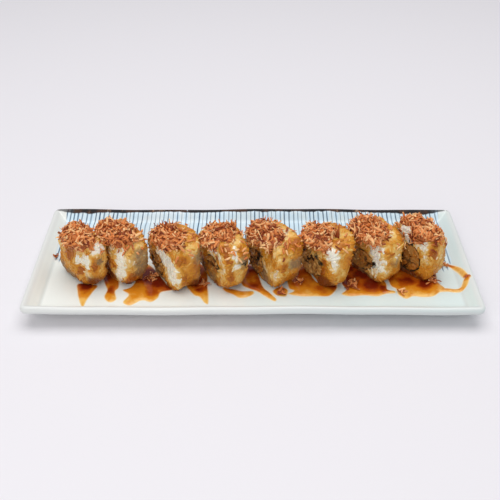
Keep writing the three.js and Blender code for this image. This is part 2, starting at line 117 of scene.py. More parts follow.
def loft_faces(rows, columns, closed):
    """Squares between the rings of a grid. Where the first and last ring aren't closed on each other,
    each gets a fan of triangles round a middle point, which follows the grid's own points."""
    row = np.arange(rows if closed else rows - 1)[:, None]
    column = np.arange(columns)[None, :]
    corners = [(row, column), (row, column + 1), (row + 1, column + 1), (row + 1, column)]
    faces = [np.stack([i % rows * columns + j % columns for i, j in corners], -1).reshape(-1, 4)]
    if not closed:
        ring = np.arange(columns)
        after = (ring + 1) % columns
        last = (rows - 1) * columns
        pole = np.full(columns, rows * columns)
        faces.append(np.stack([after, ring, pole], 1))
        faces.append(np.stack([last + ring, last + after, pole + 1], 1))
    return faces


def with_poles(grid):
    """The points or numbers of a grid in one row, with the mean of the first and of the last ring."""
    flat = grid.reshape(-1, *grid.shape[2:])
    return np.concatenate([flat, grid[:1].mean(1), grid[-1:].mean(1)])


def rim_wave(x, y):
    """The rim rises and dips a little along its length, as the sum of a slow and a quick sine."""
    return EDGE_WAVE * (np.sin(x / 33 + 0.6) + 0.4 * np.sin(x / 11 + y / 40))


def plate_top(x, y):
    """Height of the plate's upper surface: the rim's crest, a smooth step down, and the flat well."""
    inset = np.minimum(PLATE_LENGTH / 2 - np.abs(x), PLATE_DEPTH / 2 - np.abs(y))
    slope = smooth_step((inset - SLOPE_TOP) / (SLOPE_FOOT - SLOPE_TOP))
    return RIM_HEIGHT + rim_wave(x, y) * (1 - slope) - WELL_DROP * slope


def plate_rings(inset):
    """Rounded rectangles inside the plate's edge, one for each inset. A point is a corner's centre, or a
    mix of two corners' centres along a side, plus the corner's radius in the direction it faces."""
    signs = np.array([[1, 1], [-1, 1], [-1, -1], [1, -1]])
    centres, facings = [], []
    for k in range(4):
        steps = LONG_STEPS if k % 2 == 0 else SHORT_STEPS
        part = np.append(np.zeros(CORNER_STEPS + 1), np.arange(1, steps) / steps)[:, None]
        turn = np.append(np.linspace(0, 1, CORNER_STEPS + 1), np.ones(steps - 1))
        centres.append(signs[k] * (1 - part) + signs[(k + 1) % 4] * part)
        facings.append((k + turn) * np.pi / 2)
    centre, facing = np.concatenate(centres), np.concatenate(facings)
    radius = (PLATE_CORNER + 0.25 * inset)[:, None, None]
    half = np.stack([PLATE_LENGTH / 2 - inset, PLATE_DEPTH / 2 - inset], 1)[:, None, :]
    outward = np.stack([np.cos(facing), np.sin(facing)], 1)
    return centre * (half - radius) + radius * outward


slope_insets = SLOPE_TOP + (SLOPE_FOOT + 1 - SLOPE_TOP) * np.linspace(1, 0, SLOPE_RINGS + 1)[:-1]
top_insets = np.concatenate([WELL_INSETS, slope_insets])
under = np.maximum(through(UNDER_RIM, UNDER_STEPS), 0)
rings = plate_rings(np.concatenate([top_insets, under[:, 0]]))
top, below = rings[:len(top_insets)], rings[len(top_insets):]
rim_share = np.clip(1 - (under[:, 0] - 2) / 6, 0, 1)[:, None]
under_height = under[:, 1:] + rim_wave(below[..., 0], below[..., 1]) * rim_share
plate_grid = np.dstack([rings, np.vstack([plate_top(top[..., 0], top[..., 1]), under_height])])
plate = make_piece("stoneware_plate", with_poles(plate_grid), loft_faces(*plate_grid.shape[:2], False))


class Paint:
    """A number, colour or vector that varies over a surface. Sums on it add Math nodes."""

    def __init__(self, tree, socket=None):
        self.tree = tree
        self.socket = socket

    def node(self, kind, settings, inputs, output=0):
        """Any node: its type, its settings, and then the values or links of its sockets."""
        made = self.tree.nodes.new(kind)
        for setting, value in settings.items():
            setattr(made, setting, value)
        for key, value in inputs.items():
            if isinstance(value, Paint):
                self.tree.links.new(value.socket, made.inputs[key])
            else:
                made.inputs[key].default_value = value
        return Paint(self.tree, made.outputs[output])

    def sum(self, operation, first, second=0.0):
        return self.node("ShaderNodeMath", {"operation": operation}, {0: first, 1: second})

    def __add__(self, other):
        return self.sum("ADD", self, other)

    __radd__ = __add__

    def __sub__(self, other):
        return self.sum("SUBTRACT", self, other)

    def __rsub__(self, other):
        return self.sum("SUBTRACT", other, self)

    def __mul__(self, other):
        return self.sum("MULTIPLY", self, other)

    __rmul__ = __mul__

    def __truediv__(self, other):
        return self.sum("DIVIDE", self, other)

    def __abs__(self):
        return self.sum("ABSOLUTE", self)

    def floor(self):
        return self.sum("FLOOR", self)

    def step(self, low, high):
        """0 at low and below, 1 at high and above, and a smooth rise between."""
        ends = {"Value": self, "From Min": low, "From Max": high}
        return self.node("ShaderNodeMapRange", {"interpolation_type": "SMOOTHSTEP"}, ends)

    def mix(self, low, high):
        """Colour between two colours, by this number."""
        return self.node("ShaderNodeMix", {"data_type": "RGBA"}, {0: self, 6: low, 7: high}, 2)

    def colours(self, colour, *changes):
        """The first colour, which goes over to the next one on each rise (low, high, colour)."""
        for low, high, after in changes:
            colour = self.step(low, high).mix(colour, after)
        return colour

    def cloud(self, size, detail=2.0):
        """Cloudy number from 0 to 1 over these coordinates, with lumps of that size."""
        inputs = {"Vector": self, "Scale": 1 / size, "Detail": detail}
        return self.node("ShaderNodeTexNoise", {}, inputs, "Fac")

    def part(self, axis):
        return self.node("ShaderNodeSeparateXYZ", {}, {0: self}, axis)

    def stretched(self, x, y, z):
        return self.node("ShaderNodeVectorMath", {"operation": "MULTIPLY"}, {0: self, 1: (x, y, z)})

    def tone(self, name):
        """The number that the mesh holds under that name."""
        return self.node("ShaderNodeAttribute", {"attribute_name": name}, {}, "Fac")

    def relief(self, height):
        """Normal of a surface roughened by this number, in millimetres when it goes from 0 to 1."""
        return self.node("ShaderNodeBump", {}, {"Height": self, "Distance": height * MM, "Strength": 1.0})

    def into(self, shader, socket):
        self.tree.links.new(self.socket, shader.inputs[socket])


def new_finish(name, **uniform):
    """A material with the same values all over on the shader's own sockets. Gives the material, its
    shader, and the place on the piece in millimetres."""
    material = bpy.data.materials.new(name)
    material.use_nodes = True
    tree = material.node_tree
    shader = tree.nodes["Principled BSDF"]
    for socket, value in uniform.items():
        shader.inputs[socket.replace("_", " ")].default_value = value
    metres = Paint(tree).node("ShaderNodeTexCoord", {}, {}, "Object")
    place = metres.node("ShaderNodeVectorMath", {"operation": "SCALE"}, {0: metres, "Scale": 1 / MM})
    return material, shader, place


def dress(piece, material, slot, *nodes):
    """Gives a piece its material and its place on the body, and hides the imported solids that it stands
    for.
    """
    piece.data.materials.append(material)
    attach(piece, "root")
    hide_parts(*nodes)


# The warm glaze is also painted lighter, standing for brighter light at the left. The glazes for the
# slope's foot and for the walls are painted darker, as shade.
GLAZE_WARM_LIT = (0.85, 0.875, 0.83, 1)
GLAZE_COOL = (0.715, 0.81, 0.79, 1)
GLAZE_THIN = (0.73, 0.74, 0.72, 1)
GLAZE_FOOT_SHADE = (0.62, 0.66, 0.64, 1)
GLAZE_WALL_SHADE = (0.62, 0.64, 0.63, 1)
STRIPE_WASH = (0.64, 0.83, 0.96, 1)
STRIPE_INK = (0.040, 0.090, 0.16, 1)
RIM_BROWN = (0.060, 0.026, 0.014, 1)
RIM_BLACK = (0.012, 0.010, 0.011, 1)
RIM_TAN = (0.30, 0.19, 0.11, 1)
STRIPE_PITCH = 3.7
STRIPE_REACH = 158.5
FAN_FROM, BACK_RIM = 52, 68

glaze, shader, place = new_finish("celadon_glaze", Coat_Roughness=0.15)
x, y, z = place.part("X"), place.part("Y"), place.part("Z")

# The glaze is warmer at the left, and painted lighter there as the brighter light that falls on it. It is
# painted darker along the foot of the slope at both ends, as the shade in that crease, runs thin over the
# rim, and is painted greyer down the long walls, as the shade on their upright faces.
bare = (0.6 * place.cloud(60, 3) + 0.5 * x.step(-150, 170)).step(0.3, 0.8).mix(GLAZE_WARM_LIT, GLAZE_COOL)
foot_line = 1 - abs(abs(x) - (PLATE_LENGTH / 2 - SLOPE_FOOT + 1.5)).step(0, 2.5)
bare = (0.6 * foot_line * (1 - z.step(FLOOR + 0.1, FLOOR + 3))).mix(bare, GLAZE_FOOT_SHADE)
bare = (0.8 * z.step(RIM_HEIGHT - 2.5, RIM_HEIGHT)).mix(bare, GLAZE_THIN)
bare = (0.7 * abs(y).step(66.4, 67.8) * (1 - z.step(13, 17))).mix(bare, GLAZE_WALL_SHADE)

# The place along the rim over the pitch, bent by clouds, counts the stripes. Each stripe's number
# gives two chances, which set its width, its strength and where it ends.
brushed = place.stretched(1, 0.12, 0)
fanned = x + 0.015 * x * y.step(FAN_FROM, BACK_RIM)
run = (fanned + (brushed.cloud(16) - 0.5) * 5 + (brushed.cloud(5) - 0.5) * 1.6) / STRIPE_PITCH
stripe = run.floor()
chance, chance_two = [
    run.node("ShaderNodeTexWhiteNoise", {"noise_dimensions": "1D"}, {"W": seed}, "Value")
    for seed in (stripe, stripe + 0.37)
]
off_line = abs(run - stripe - 0.5) * STRIPE_PITCH
width = 0.1 + 0.3 * chance + 0.16 * abs(x).step(80, 140)
ink = (1 - (off_line - width).step(0, 0.35)) * (0.55 + 0.5 * chance_two) * (0.7 + 0.6 * brushed.cloud(9))
front_end = 9 - 16 * chance_two - 12 * x.step(120, 150)
drawn = (y - front_end).step(0, 5) * (1 - abs(x).step(STRIPE_REACH, STRIPE_REACH + 1))
wash = drawn * (0.55 + 0.45 * chance) * place.cloud(7).step(0.1, 0.5) * (0.6 + 0.4 * y.step(15, 55))
striped = (ink * drawn).mix(wash.mix(bare, STRIPE_WASH), STRIPE_INK)

# The dark line along the back rim is uneven, broken in places, wide towards its ends and thin at them.
along = place.stretched(1, 0.4, 0.4)
line_width = 2.2 + 2.7 * along.cloud(13) + 1.4 * along.cloud(4) + 1.4 * abs(x).step(95, 150)
line_width = line_width * (1 - 0.4 * abs(x).step(150, 167))
line = (1 - (PLATE_DEPTH / 2 - y - line_width).step(-0.4, 0.5)) * along.cloud(6).step(0.22, 0.32)
line = line * z.step(12, 14) * (1 - 0.25 * abs(x).step(150, 166)) * (1 - abs(x).step(167.5, 169.5))
browns = along.cloud(4).colours(RIM_BROWN, (0.58, 0.7, RIM_TAN))
line_colour = along.cloud(10).colours(RIM_BLACK, (0.45, 0.6, browns))
line.mix(striped, line_colour).into(shader, "Base Color")
(0.28 + 0.6 * line).into(shader, "Roughness")
(0.15 - 0.15 * line).into(shader, "Coat Weight")
(place.cloud(14, 1) + 0.25 * place.cloud(3, 1)).relief(0.25).into(shader, "Normal")
dress(plate, glaze, "glaze", "plate")

# Rice: vinegared rice pressed round the filling and sliced, so each slice is a thick ring of sticky
# grains. The two end pieces are closed at the front. Sweet sauce has soaked the outside golden and
# the foot brown, and parts of the cut faces stay white. The foot, the rear and the sides that face the
# next slice are also painted darker, as the shade that falls there.
ROLL_WIDTH = 46
ROLL_HEIGHT = 42
SQUARENESS = 2.8
BASE_SAG = 1.2
ROUNDING = 4
DOME = 3.7
CAP = 7
GAP = 0.3
RICE_AROUND = 96
FACE_RINGS = 13
SOFT_RINGS = 5
SIDE_RINGS = 7
DOME_RINGS = 18
CAP_RINGS = 6
FIRST_RING = 0.04
LEAST_SHARE = 0.4
# Each slice: its place on the plate, its turn in degrees, its thickness, how far its top lies back and
# its rear hangs back, whether its front is closed, and its hole, as across, up, half width, half height.
SLICE_FACTS = ("x", "y", "turn", "thick", "lean", "flare", "closed", "bore")
SLICES = [dict(zip(SLICE_FACTS, row)) for row in [
    (-131, -19.5, 48, 17, 4, 1, True, (0, 19, 12.5, 11)),
    (-101.1, -16.9, 40, 20.5, 2, 5, True, (0, 19, 12.5, 11)),
    (-59.6, -21.7, 33, 20, 0, 8, False, (-9, 12.5, 10.5, 9)),
    (-23.7, -20.7, 33, 19, 0, 8, False, (2.5, 18, 10, 7)),
    (15.5, -17.6, 33, 20.5, 0, 9, False, (-9, 12.5, 11.5, 10)),
    (54.5, -19.8, 31, 16, 0, 12, False, (-6.5, 12.5, 14.5, 9.5)),
    (93.8, -12.5, 35, 19, 0, 5, False, (-5, 13.5, 15, 9.5)),
    (126.2, -10.3, 42, 18, 0, 4, False, (0.5, 15.5, 12.5, 12.5)),
]]
# Places on each slice that stay white or pale, take up more sauce and turn brown, are stained
# grey-brown by the filling and painted darker as the next slice's shade, stand soaked in sauce and are
# painted darker as the shade at the foot, or are dark holes where seaweed shows. Each is across, along,
# up, and how far it reaches.
PLACES = [
    {"white": [(7, -8, 23, 5), (15, -8, 23, 5), (21, 0, 34, 5), (18, 0, 37, 3.9)],
     "pale": [(-16, -6, 29, 6.6), (16, -6, 11, 4.4)],
     "brown": [(-3, -8, 26, 5.5), (21, -6, 21, 4.4), (8, -7, 14, 4.4)],
     "stain": [(22, 0, 24, 3.5), (-16, -5, 6, 5.5), (-6, -5, 2, 6.6)],
     "soak": [(19, -3, 8, 6)]},
    {"white": [(15, -9, 27, 5.3), (13, -9, 20, 5.5), (13, -9, 13, 5.5), (10, -9, 5, 5)],
     "pale": [(20, 4, 34, 3.3), (1, -10, 29, 5.5)],
     "brown": [(5, -11, 19, 4.4), (20, -5, 9, 5.5)],
     "stain": [(23, 2, 28, 5.5), (23, 5, 20, 6.6), (22, 4, 13, 6.6)],
     "soak": [(0, -10, 6, 6)]},
    {"white": [(-5, -10, 27, 5), (1, -9, 24, 5.7), (9, -10, 22, 6.6), (16, -11, 19, 6.6),
        (17, -10, 12, 6.6)],
     "brown": [(23, 3, 19, 7.7), (22, -2, 12, 5.5), (21, -4, 29, 4.4)],
     "stain": [(20, 9, 28, 6.6), (-14, -11, 2, 8), (-2, -10, 0, 7)],
     "soak": [(20, 6, 4, 7)]},
    {"white": [(18, -1, 35, 3), (21, -2, 31, 3.2), (23, -2, 25, 3.2)],
     "pale": [(4, -10, 29, 5), (12, -9, 28, 5), (18, -10, 23, 4.4), (17, -10, 15, 5)],
     "brown": [(15, -6, 36, 3.7), (19, -7, 33, 3.7), (22, -6, 28, 3.7), (23, -7, 22, 3.7),
        (22, -7, 16, 3.3), (18, 3, 36, 2.6), (20, 2, 32, 2.6)],
     "stain": [(-14, -9, 9, 5.5), (1, -10, 5, 5.5), (23, 5, 26, 5)],
     "hole": [(10, -9, 18, 2.6), (23, 6, 23, 2.6)]},
    {"pale": [(2, -10, 15, 4.4), (20, -10, 14, 5), (6, 5, 40, 6.6)],
     "brown": [(17, 3, 37, 5), (10, -9, 31, 4.4), (24, -7, 23, 4.4)],
     "stain": [(-10, -10, 4, 6.6), (4, -10, 7, 6.1), (24, 4, 22, 6)],
     "hole": [(-4, -10, 21, 4), (-5, -10, 15, 3.4)]},
    {"white": [(15, -8, 37, 5), (18, -7, 31, 4.4)],
     "pale": [(-11, -8, 3, 3.4), (21, -7, 25, 5.5)],
     "brown": [(-18, -7, 21, 5.5), (-2, -8, 30, 5.5), (10, -8, 23, 3.9), (9, -8, 14, 3.9),
        (15, -2, 38, 5.5)],
     "stain": [(-17, -8, 2, 6), (-6, -8, 2, 6)],
     "soak": [(9, -9, 6, 6.6), (17, -7, 6, 5.5)],
     "hole": [(-8, -8, 16, 2.4), (2, -8, 23, 2.6), (6, -7, 19, 2.2)]},
    {"white": [(9, -10, 30, 7), (15, -10, 27, 7.6), (14, -10, 19, 5.7)],
     "pale": [(-21, -8, 12, 5.5), (11, -10, 10, 5.5), (7, -9, 2, 4.4), (11, 0, 40, 5)],
     "brown": [(-12, -9, 26, 5.5), (21, -7, 30, 4.4)],
     "stain": [(0, -9, 0, 6.6), (24, 2, 20, 4.5)],
     "soak": [(-9, -9, 1, 6)],
     "hole": [(10, -9, 16, 2.4), (2, -9, 17, 2)]},
    {"white": [(-6, -8, 36, 5.5), (0, -8, 33, 5.5), (13, -8, 32, 5.7)],
     "pale": [(16, -8, 21, 5), (16, 2, 38, 5.5)],
     "brown": [(18, -5, 34, 4), (21, -7, 30, 3.7)],
     "stain": [(-6, -7, 5, 8)],
     "soak": [(5, -8, 2, 7), (14, -7, 0, 6.6)],
     "hole": [(2, -9, 30, 2.9), (-10, -9, 24, 2.4)]},
]
GRAIN_SIZE = (5.6, 2.3, 1.9)
GRAIN_SPACING = 1.8
GRAIN_SUNK = 0.3
RICE_CANDIDATES = 2600
RICE_SEED = 100
LOWEST = 0.05


def full_turn(count):
    """Angles of one ring, in one row."""
    return np.linspace(0, 2 * np.pi, count, endpoint=False)[None, :]


def noise(points, size, seed):
    """Smooth random number from -1 to 1: each corner of a lattice with cells of that size holds a
    random number, and between the corners they are blended by a smooth step along each axis."""
    place = points / size + 500
    cell = np.floor(place).astype(np.int64)
    part = smooth_step(place - cell)
    total = np.zeros(points.shape[:-1])
    for corner in np.ndindex(2, 2, 2):
        key = (cell + corner) @ np.array([73856093, 19349663, 83492791]) + seed * 7919
        key = (key ^ (key >> 13)) * 1274126177 & 0x7FFFFFFF
        value = ((key ^ (key >> 15)) & 0xFFFF) / 32767.5 - 1
        total += value * np.prod(np.where(np.array(corner) == 1, part, 1 - part), axis=-1)
    return total


def unit(vectors):
    """Vectors with their own directions and a length of 1."""
    return vectors / np.maximum(np.linalg.norm(vectors, axis=-1, keepdims=True), 1e-9)


def facing_out(grid):
    """Unit normals of a grid of rings: the cross product of the step along the ring and the step to
    the next ring."""
    return unit(np.cross(np.roll(grid, -1, 1) - np.roll(grid, 1, 1), np.gradient(grid, axis=0)))


def squared(value):
    """Sine or cosine drawn out towards 1, which turns a round section into a boxier one."""
    return np.sign(value) * np.abs(value) ** (2 / SQUARENESS)


def outside_point(number, angle, part=1.0):
    """Outside of a slice's section: half width times a drawn-out sine across, half height times a
    drawn-out cosine up, swollen by two sines of the angle so that no two slices are alike."""
    shape = (1 + 0.018 * np.sin(2 * angle + number) + 0.014 * np.sin(3 * angle + 2.3 * number)) * part
    across = ROLL_WIDTH / 2 * shape * squared(np.sin(angle))
    up = ROLL_HEIGHT / 2 * shape * squared(np.cos(angle)) + ROLL_HEIGHT / 2 - BASE_SAG
    return np.stack([across, up], -1)


def bore_point(slice_, angle, inset=0.0, part=1.0):
    """Oval hole of a slice, off its middle, some millimetres inside the hole's edge, which three sines
    of the angle make uneven."""
    across, up, wide, high = slice_["bore"]
    seed = slice_["x"]
    uneven = 0.96 + 0.045 * np.sin(2 * angle + seed) + 0.04 * np.sin(3 * angle + 2 * seed)
    uneven = (uneven + 0.02 * np.sin(7 * angle + seed)) * part
    across = across + (wide - inset) * uneven * np.sin(angle)
    return np.stack([across, up + (high - inset) * uneven * np.cos(angle)], -1)


def slumped(slice_, points):
    """Points of a slice (across, along the roll, up) after it has slumped: its top lies back by its
    lean, and its rear hangs back by its flare times the cube of the height."""
    rear = 0.5 + points[..., 1] / slice_["thick"]
    height = points[..., 2] / ROLL_HEIGHT
    moved = points.copy()
    moved[..., 1] += slice_["lean"] * (height - 0.5) + slice_["flare"] * rear * height**3
    return moved


def turned(x, y, degrees):
    """A place in the flat after a turn about the upright."""
    cosine, sine = math.cos(math.radians(degrees)), math.sin(math.radians(degrees))
    return x * cosine - y * sine, x * sine + y * cosine


def stand(slice_, points):
    """Takes points of a slice (across, along the roll, up) to their place on the plate: they are turned
    about the upright, and moved to the slice's spot."""
    x, y = turned(points[..., 0], points[..., 1], slice_["turn"] - 90)
    return np.stack([slice_["x"] + x, slice_["y"] + y, FLOOR + GAP + points[..., 2]], -1)


def rice_grid(slice_, number):
    """Rice as rings round the roll's axis. The profile runs from the middle over the front face, round
    its soft edge, along the outside, over the back face and through the hole. A ring lies a share of
    the way from the hole's edge to the outside, less its inset from there. On a closed front the share
    starts at the middle, and the face is domed by the square of it. Gives the points and the shares."""
    half = slice_["thick"] / 2
    angle = full_turn(RICE_AROUND)
    outer, inner = outside_point(number, angle), bore_point(slice_, angle)
    wall = np.linalg.norm(outer - inner, axis=-1)

    def ring_share(reach, inset):
        return reach[:, None] * np.maximum(LEAST_SHARE, 1 - inset[:, None] / wall)

    face, flat = np.linspace(0, 1, FACE_RINGS), np.ones(FACE_RINGS)
    bend = np.linspace(0, np.pi / 2, SOFT_RINGS + 1)[1:]
    rounded, sunk = ROUNDING * (1 - np.sin(bend)), ROUNDING * (1 - np.cos(bend))
    side_start = -half + ROUNDING + DOME * slice_["closed"]
    side = np.linspace(side_start, half - ROUNDING, SIDE_RINGS + 2)[1:-1]
    if slice_["closed"]:
        front_share = np.linspace(FIRST_RING, 1, DOME_RINGS)[:, None] * np.ones_like(angle)
        part = front_share[:, 0]
        edge = np.clip((part - 0.85) / 0.15, 0, 1)
        front = outside_point(number, angle, front_share)
        front_along = -half + DOME * part**2 + ROUNDING * (1 - np.sqrt(1 - edge**2))
        down = np.linspace(half, CAP - half, CAP_RINGS + 1)[1:]
        hole_along = np.append(down, np.full(CAP_RINGS, CAP - half))
        hole_part = np.concatenate([np.ones(CAP_RINGS), np.linspace(0.8, 0.05, CAP_RINGS)])
    else:
        front_share = ring_share(np.append(face, np.ones(SOFT_RINGS)), np.append(ROUNDING * flat, rounded))
        front = inner + (outer - inner) * front_share[..., None]
        front_along = np.append(-half * flat, sunk - half)
        hole_along = np.linspace(half, -half, SIDE_RINGS + 2)[1:-1]
        hole_part = np.ones(SIDE_RINGS)
    side_reach = np.ones(SIDE_RINGS + SOFT_RINGS)
    back_inset = np.concatenate([np.zeros(SIDE_RINGS), rounded[::-1], ROUNDING * flat])
    back_share = ring_share(np.append(side_reach, face[::-1]), back_inset)
    back = inner + (outer - inner) * back_share[..., None]
    hole = bore_point(slice_, angle, 0.0, hole_part[:, None])
    section = np.concatenate([front, back, hole])
    share = np.concatenate([front_share, back_share, np.zeros(hole.shape[:2])])
    along = np.concatenate([front_along, side, half - sunk[::-1], half * flat, hole_along])
    return np.stack([section[..., 0], along[:, None] + 0 * share, section[..., 1]], -1), share


def ways_in_surface(normals, tilt, rng):
    """Three unit directions for each normal: a random one in the surface, tilted out of it by a random
    amount, the one beside it, and the one that faces out."""
    helper = np.where(np.abs(normals[:, 2:]) < 0.9, [[0, 0, 1]], [[1, 0, 0]])
    first = unit(np.cross(normals, helper))
    second = np.cross(normals, first)
    turn = rng.uniform(0, 2 * np.pi, (len(normals), 1))
    flat_way = np.cos(turn) * first + np.sin(turn) * second
    long_way = unit(flat_way + rng.normal(0, tilt, (len(normals), 1)) * normals)
    side_way = unit(np.cross(normals, long_way))
    return np.stack([long_way, side_way, np.cross(long_way, side_way)], 1)


def grains(centres, normals, sizes, rng):
    """Many grains in one go: an egg of six sides and four rings for each, long along a random direction
    in the surface, tilted a little. Gives points for each grain and the faces of one."""
    around = full_turn(6)
    ring = np.array([0.31, 0.46, 0.46, 0.31])[:, None]
    along = np.array([-0.38, -0.14, 0.14, 0.38])[:, None]
    body = np.dstack([along + 0 * around, ring * np.cos(around), ring * np.sin(around)]).reshape(-1, 3)
    egg = np.vstack([body, [[-0.5, 0, 0], [0.5, 0, 0]]])
    ways = ways_in_surface(normals, 0.16, rng)
    points = centres[:, None] + np.einsum("pk,nk,nkd->npd", egg, sizes, ways)
    return points, loft_faces(4, 6, False)


def many(points, faces):
    """Joins copies of a small shape: points as (copies, points, 3), and the faces of one copy."""
    shift = np.arange(points.shape[0])[:, None, None] * points.shape[1]
    return points.reshape(-1, 3), [(face[None] + shift).reshape(-1, face.shape[1]) for face in faces]


def joined(parts):
    """Joins several (points, faces, tones) into one, with their tones in order."""
    start = 0
    faces = []
    for points, part_faces, _ in parts:
        faces += [face + start for face in part_faces]
        start += len(points)
    tones = {name: np.concatenate([np.ravel(part[2][name]) for part in parts]) for name in parts[0][2]}
    return np.concatenate([part[0] for part in parts]), faces, tones


def spread(grid, weight, count, spacing, rng):
    """Random spots on a grid, denser where weight times area is larger, and thinned so that none lies
    within the spacing of an earlier one. Gives their points, normals, and rows and columns."""
    normal = facing_out(grid)
    step_out = np.roll(grid, -1, 0) - grid
    step_round = np.roll(grid, -1, 1) - grid
    area = np.linalg.norm(np.cross(step_out, step_round), axis=-1) * weight
    area[-1] = 0
    pick = rng.choice(area.size, count, p=(area / area.sum()).ravel())
    row, column = np.unravel_index(pick, area.shape)
    shift = rng.uniform(0, 1, (2, count, 1))
    spots = grid[row, column] + shift[0] * step_out[row, column] + shift[1] * step_round[row, column]
    near = np.linalg.norm(spots[:, None] - spots[None], axis=-1) < spacing
    keep = ~np.tril(near, -1).any(1)
    return spots[keep], normal[row, column][keep], row[keep], column[keep]


def near_places(points, number, kind, fade=0.9):
    """How close points are to the slice's places of one kind: a half near the place's reach, from 1
    inside it to 0 outside over a fade, given in reaches, with its outline bent by noise."""
    close = np.zeros(points.shape[:-1])
    bend = np.stack([noise(points, 4.5, number + 90 + k) for k in range(3)], -1)
    for *middle, reach in PLACES[number - 1].get(kind, []):
        away = points + min(2.2, 0.5 * reach) * bend - np.array(middle)
        away = np.linalg.norm(away, axis=-1) / reach
        close = np.maximum(close, smooth_step(0.5 + (0.97 - away) / fade))
    return close


def golden_and_shaded(points, number):
    """How golden the rice is, from below 0 to past 1: patches and drips everywhere, more towards the
    foot, where sauce runs down and shade is painted, and the rear, as the painted shade of the slice's
    side, less in the white and pale places, and more in the brown ones."""
    drips = points * np.array([1, 1, 0.45])
    patches = 0.36 * noise(drips, 5.5, number + 9) + 0.24 * noise(drips, 2.4, number + 30)
    # The foot and the rear are painted a deeper gold, partly as the shade that falls there.
    low = smooth_step((18 - points[..., 2]) / 18)
    gold = 0.66 + np.maximum(patches, -0.26) + 0.36 * low + 0.25 * smooth_step(points[..., 1] / 10)
    gold = gold * (1 - 0.5 * near_places(points, number, "pale"))
    white = near_places(points, number, "white", 1.3)
    gold = gold * (1 - white) + white * (-0.2 + 0.12 * noise(points, 3, number + 5))
    return gold + 0.6 * near_places(points, number, "brown")


def soaked_and_shaded(points, number):
    """How brown the foot is, from the sauce that it stands in and as painted shade at the plate."""
    edge = 5 + 6 * noise(points, 7, number + 70)
    foot = 0.85 * smooth_step((edge - points[..., 2]) / 6)
    return np.maximum(foot, 0.9 * near_places(points, number, "soak"))


def stained_and_shaded(points, number):
    """How far the rice is painted grey-brown: in the stained places, which stand for both the filling's
    stain and the next slice's shade, and low down at the rear, as painted shade where the next slice
    leans on it."""
    # Low down at the rear is painted shade, where the next slice shades it.
    rear = 0.5 * smooth_step((points[..., 1] - 2) / 7) * smooth_step((28 - points[..., 2]) / 22)
    return np.maximum(rear, near_places(points, number, "stain"))


RICE_WHITE = (0.94, 0.87, 0.73, 1)
RICE_STRAW = (0.82, 0.51, 0.145, 1)
RICE_GOLD = (0.66, 0.265, 0.022, 1)
RICE_AMBER = (0.42, 0.115, 0.008, 1)
# The soaked and stained tones also stand for painted shade at the foot and between the slices.
RICE_SOAKED_SHADE = (0.16, 0.030, 0.006, 1)
RICE_STAIN_AND_SHADE = (0.28, 0.175, 0.085, 1)
RICE_HOLE = (0.015, 0.010, 0.007, 1)

rice, shader, place = new_finish(
    "glazed_rice", Roughness=0.36, Specular_IOR_Level=0.22, Coat_Weight=0.08, Coat_Roughness=0.15,
    Subsurface_Weight=0.1, Subsurface_Scale=0.002)
gold = place.tone("gold") + (place.cloud(2.6, 3) - 0.5) * 0.6 + (place.tone("grain") - 0.5) * 0.2
tinted = gold.colours(
    RICE_WHITE, (0.05, 0.5, RICE_STRAW), (0.4, 0.85, RICE_GOLD), (0.8, 1.35, RICE_AMBER))
# Grey-brown from the filling's stain, and painted shade where the slices shade each other.
tinted = (place.tone("stain") * (0.45 + 0.9 * place.cloud(2.2, 2))).mix(tinted, RICE_STAIN_AND_SHADE)
# Dark brown at the foot: soaked sauce, and painted shade where the slice meets the plate.
tinted = place.tone("soak").mix(tinted, RICE_SOAKED_SHADE)
place.tone("hole").mix(tinted, RICE_HOLE).into(shader, "Base Color")
place.cloud(1.1, 2).relief(0.12).into(shader, "Normal")

for number, slice_ in enumerate(SLICES, 1):
    rng = np.random.default_rng(RICE_SEED + number)
    grid, share = rice_grid(slice_, number)
    swell = 1.3 * noise(grid, 9, number) + 0.55 * noise(grid, 3.5, number + 50) - 0.3
    grid = grid + np.where(share > 0.02, swell, 0)[..., None] * facing_out(grid)
    grid[..., 2] = np.maximum(grid[..., 2], LOWEST)
    tones = {
        "gold": golden_and_shaded(grid, number),
        "soak": soaked_and_shaded(grid, number),
        "stain": stained_and_shaded(grid, number),
        "hole": near_places(grid, number, "hole"),
        "grain": np.full(share.shape, 0.5),
    }
    core = grid.reshape(-1, 3)
    if slice_["closed"]:
        core = with_poles(grid)
        tones = {name: with_poles(tone) for name, tone in tones.items()}
    weight = (share > 0.03) * (grid[..., 2] > 0.6)
    spots, facing, row, column = spread(grid, weight, RICE_CANDIDATES, GRAIN_SPACING, rng)
    sizes = np.array(GRAIN_SIZE) * rng.uniform(0.85, 1.12, (len(spots), 1))
    sunk = GRAIN_SUNK * (1 + smooth_step((share[row, column] - 0.85) / 0.1))
    points, faces = grains(spots - facing * sunk[:, None], facing, sizes, rng)
    points[..., 2] = np.maximum(points[..., 2], LOWEST)
    one_each = {
        "gold": golden_and_shaded(spots, number) + rng.normal(0, 0.1, len(spots)),
        "stain": stained_and_shaded(spots, number),
        "hole": near_places(spots, number, "hole"),
        "grain": rng.uniform(0, 1, len(spots)),
    }
    grain_tones = {name: np.repeat(tone, points.shape[1]) for name, tone in one_each.items()}
    grain_tones["soak"] = soaked_and_shaded(points, number)
    core_faces = loft_faces(*share.shape, not slice_["closed"])
    points, faces, tones = joined([(core, core_faces, tones), (*many(points, faces), grain_tones)])
    piece = make_piece(f"rice_slice_{number}", stand(slice_, slumped(slice_, points)), faces, tones)
    dress(piece, rice, "rice", f"rice_{number}")

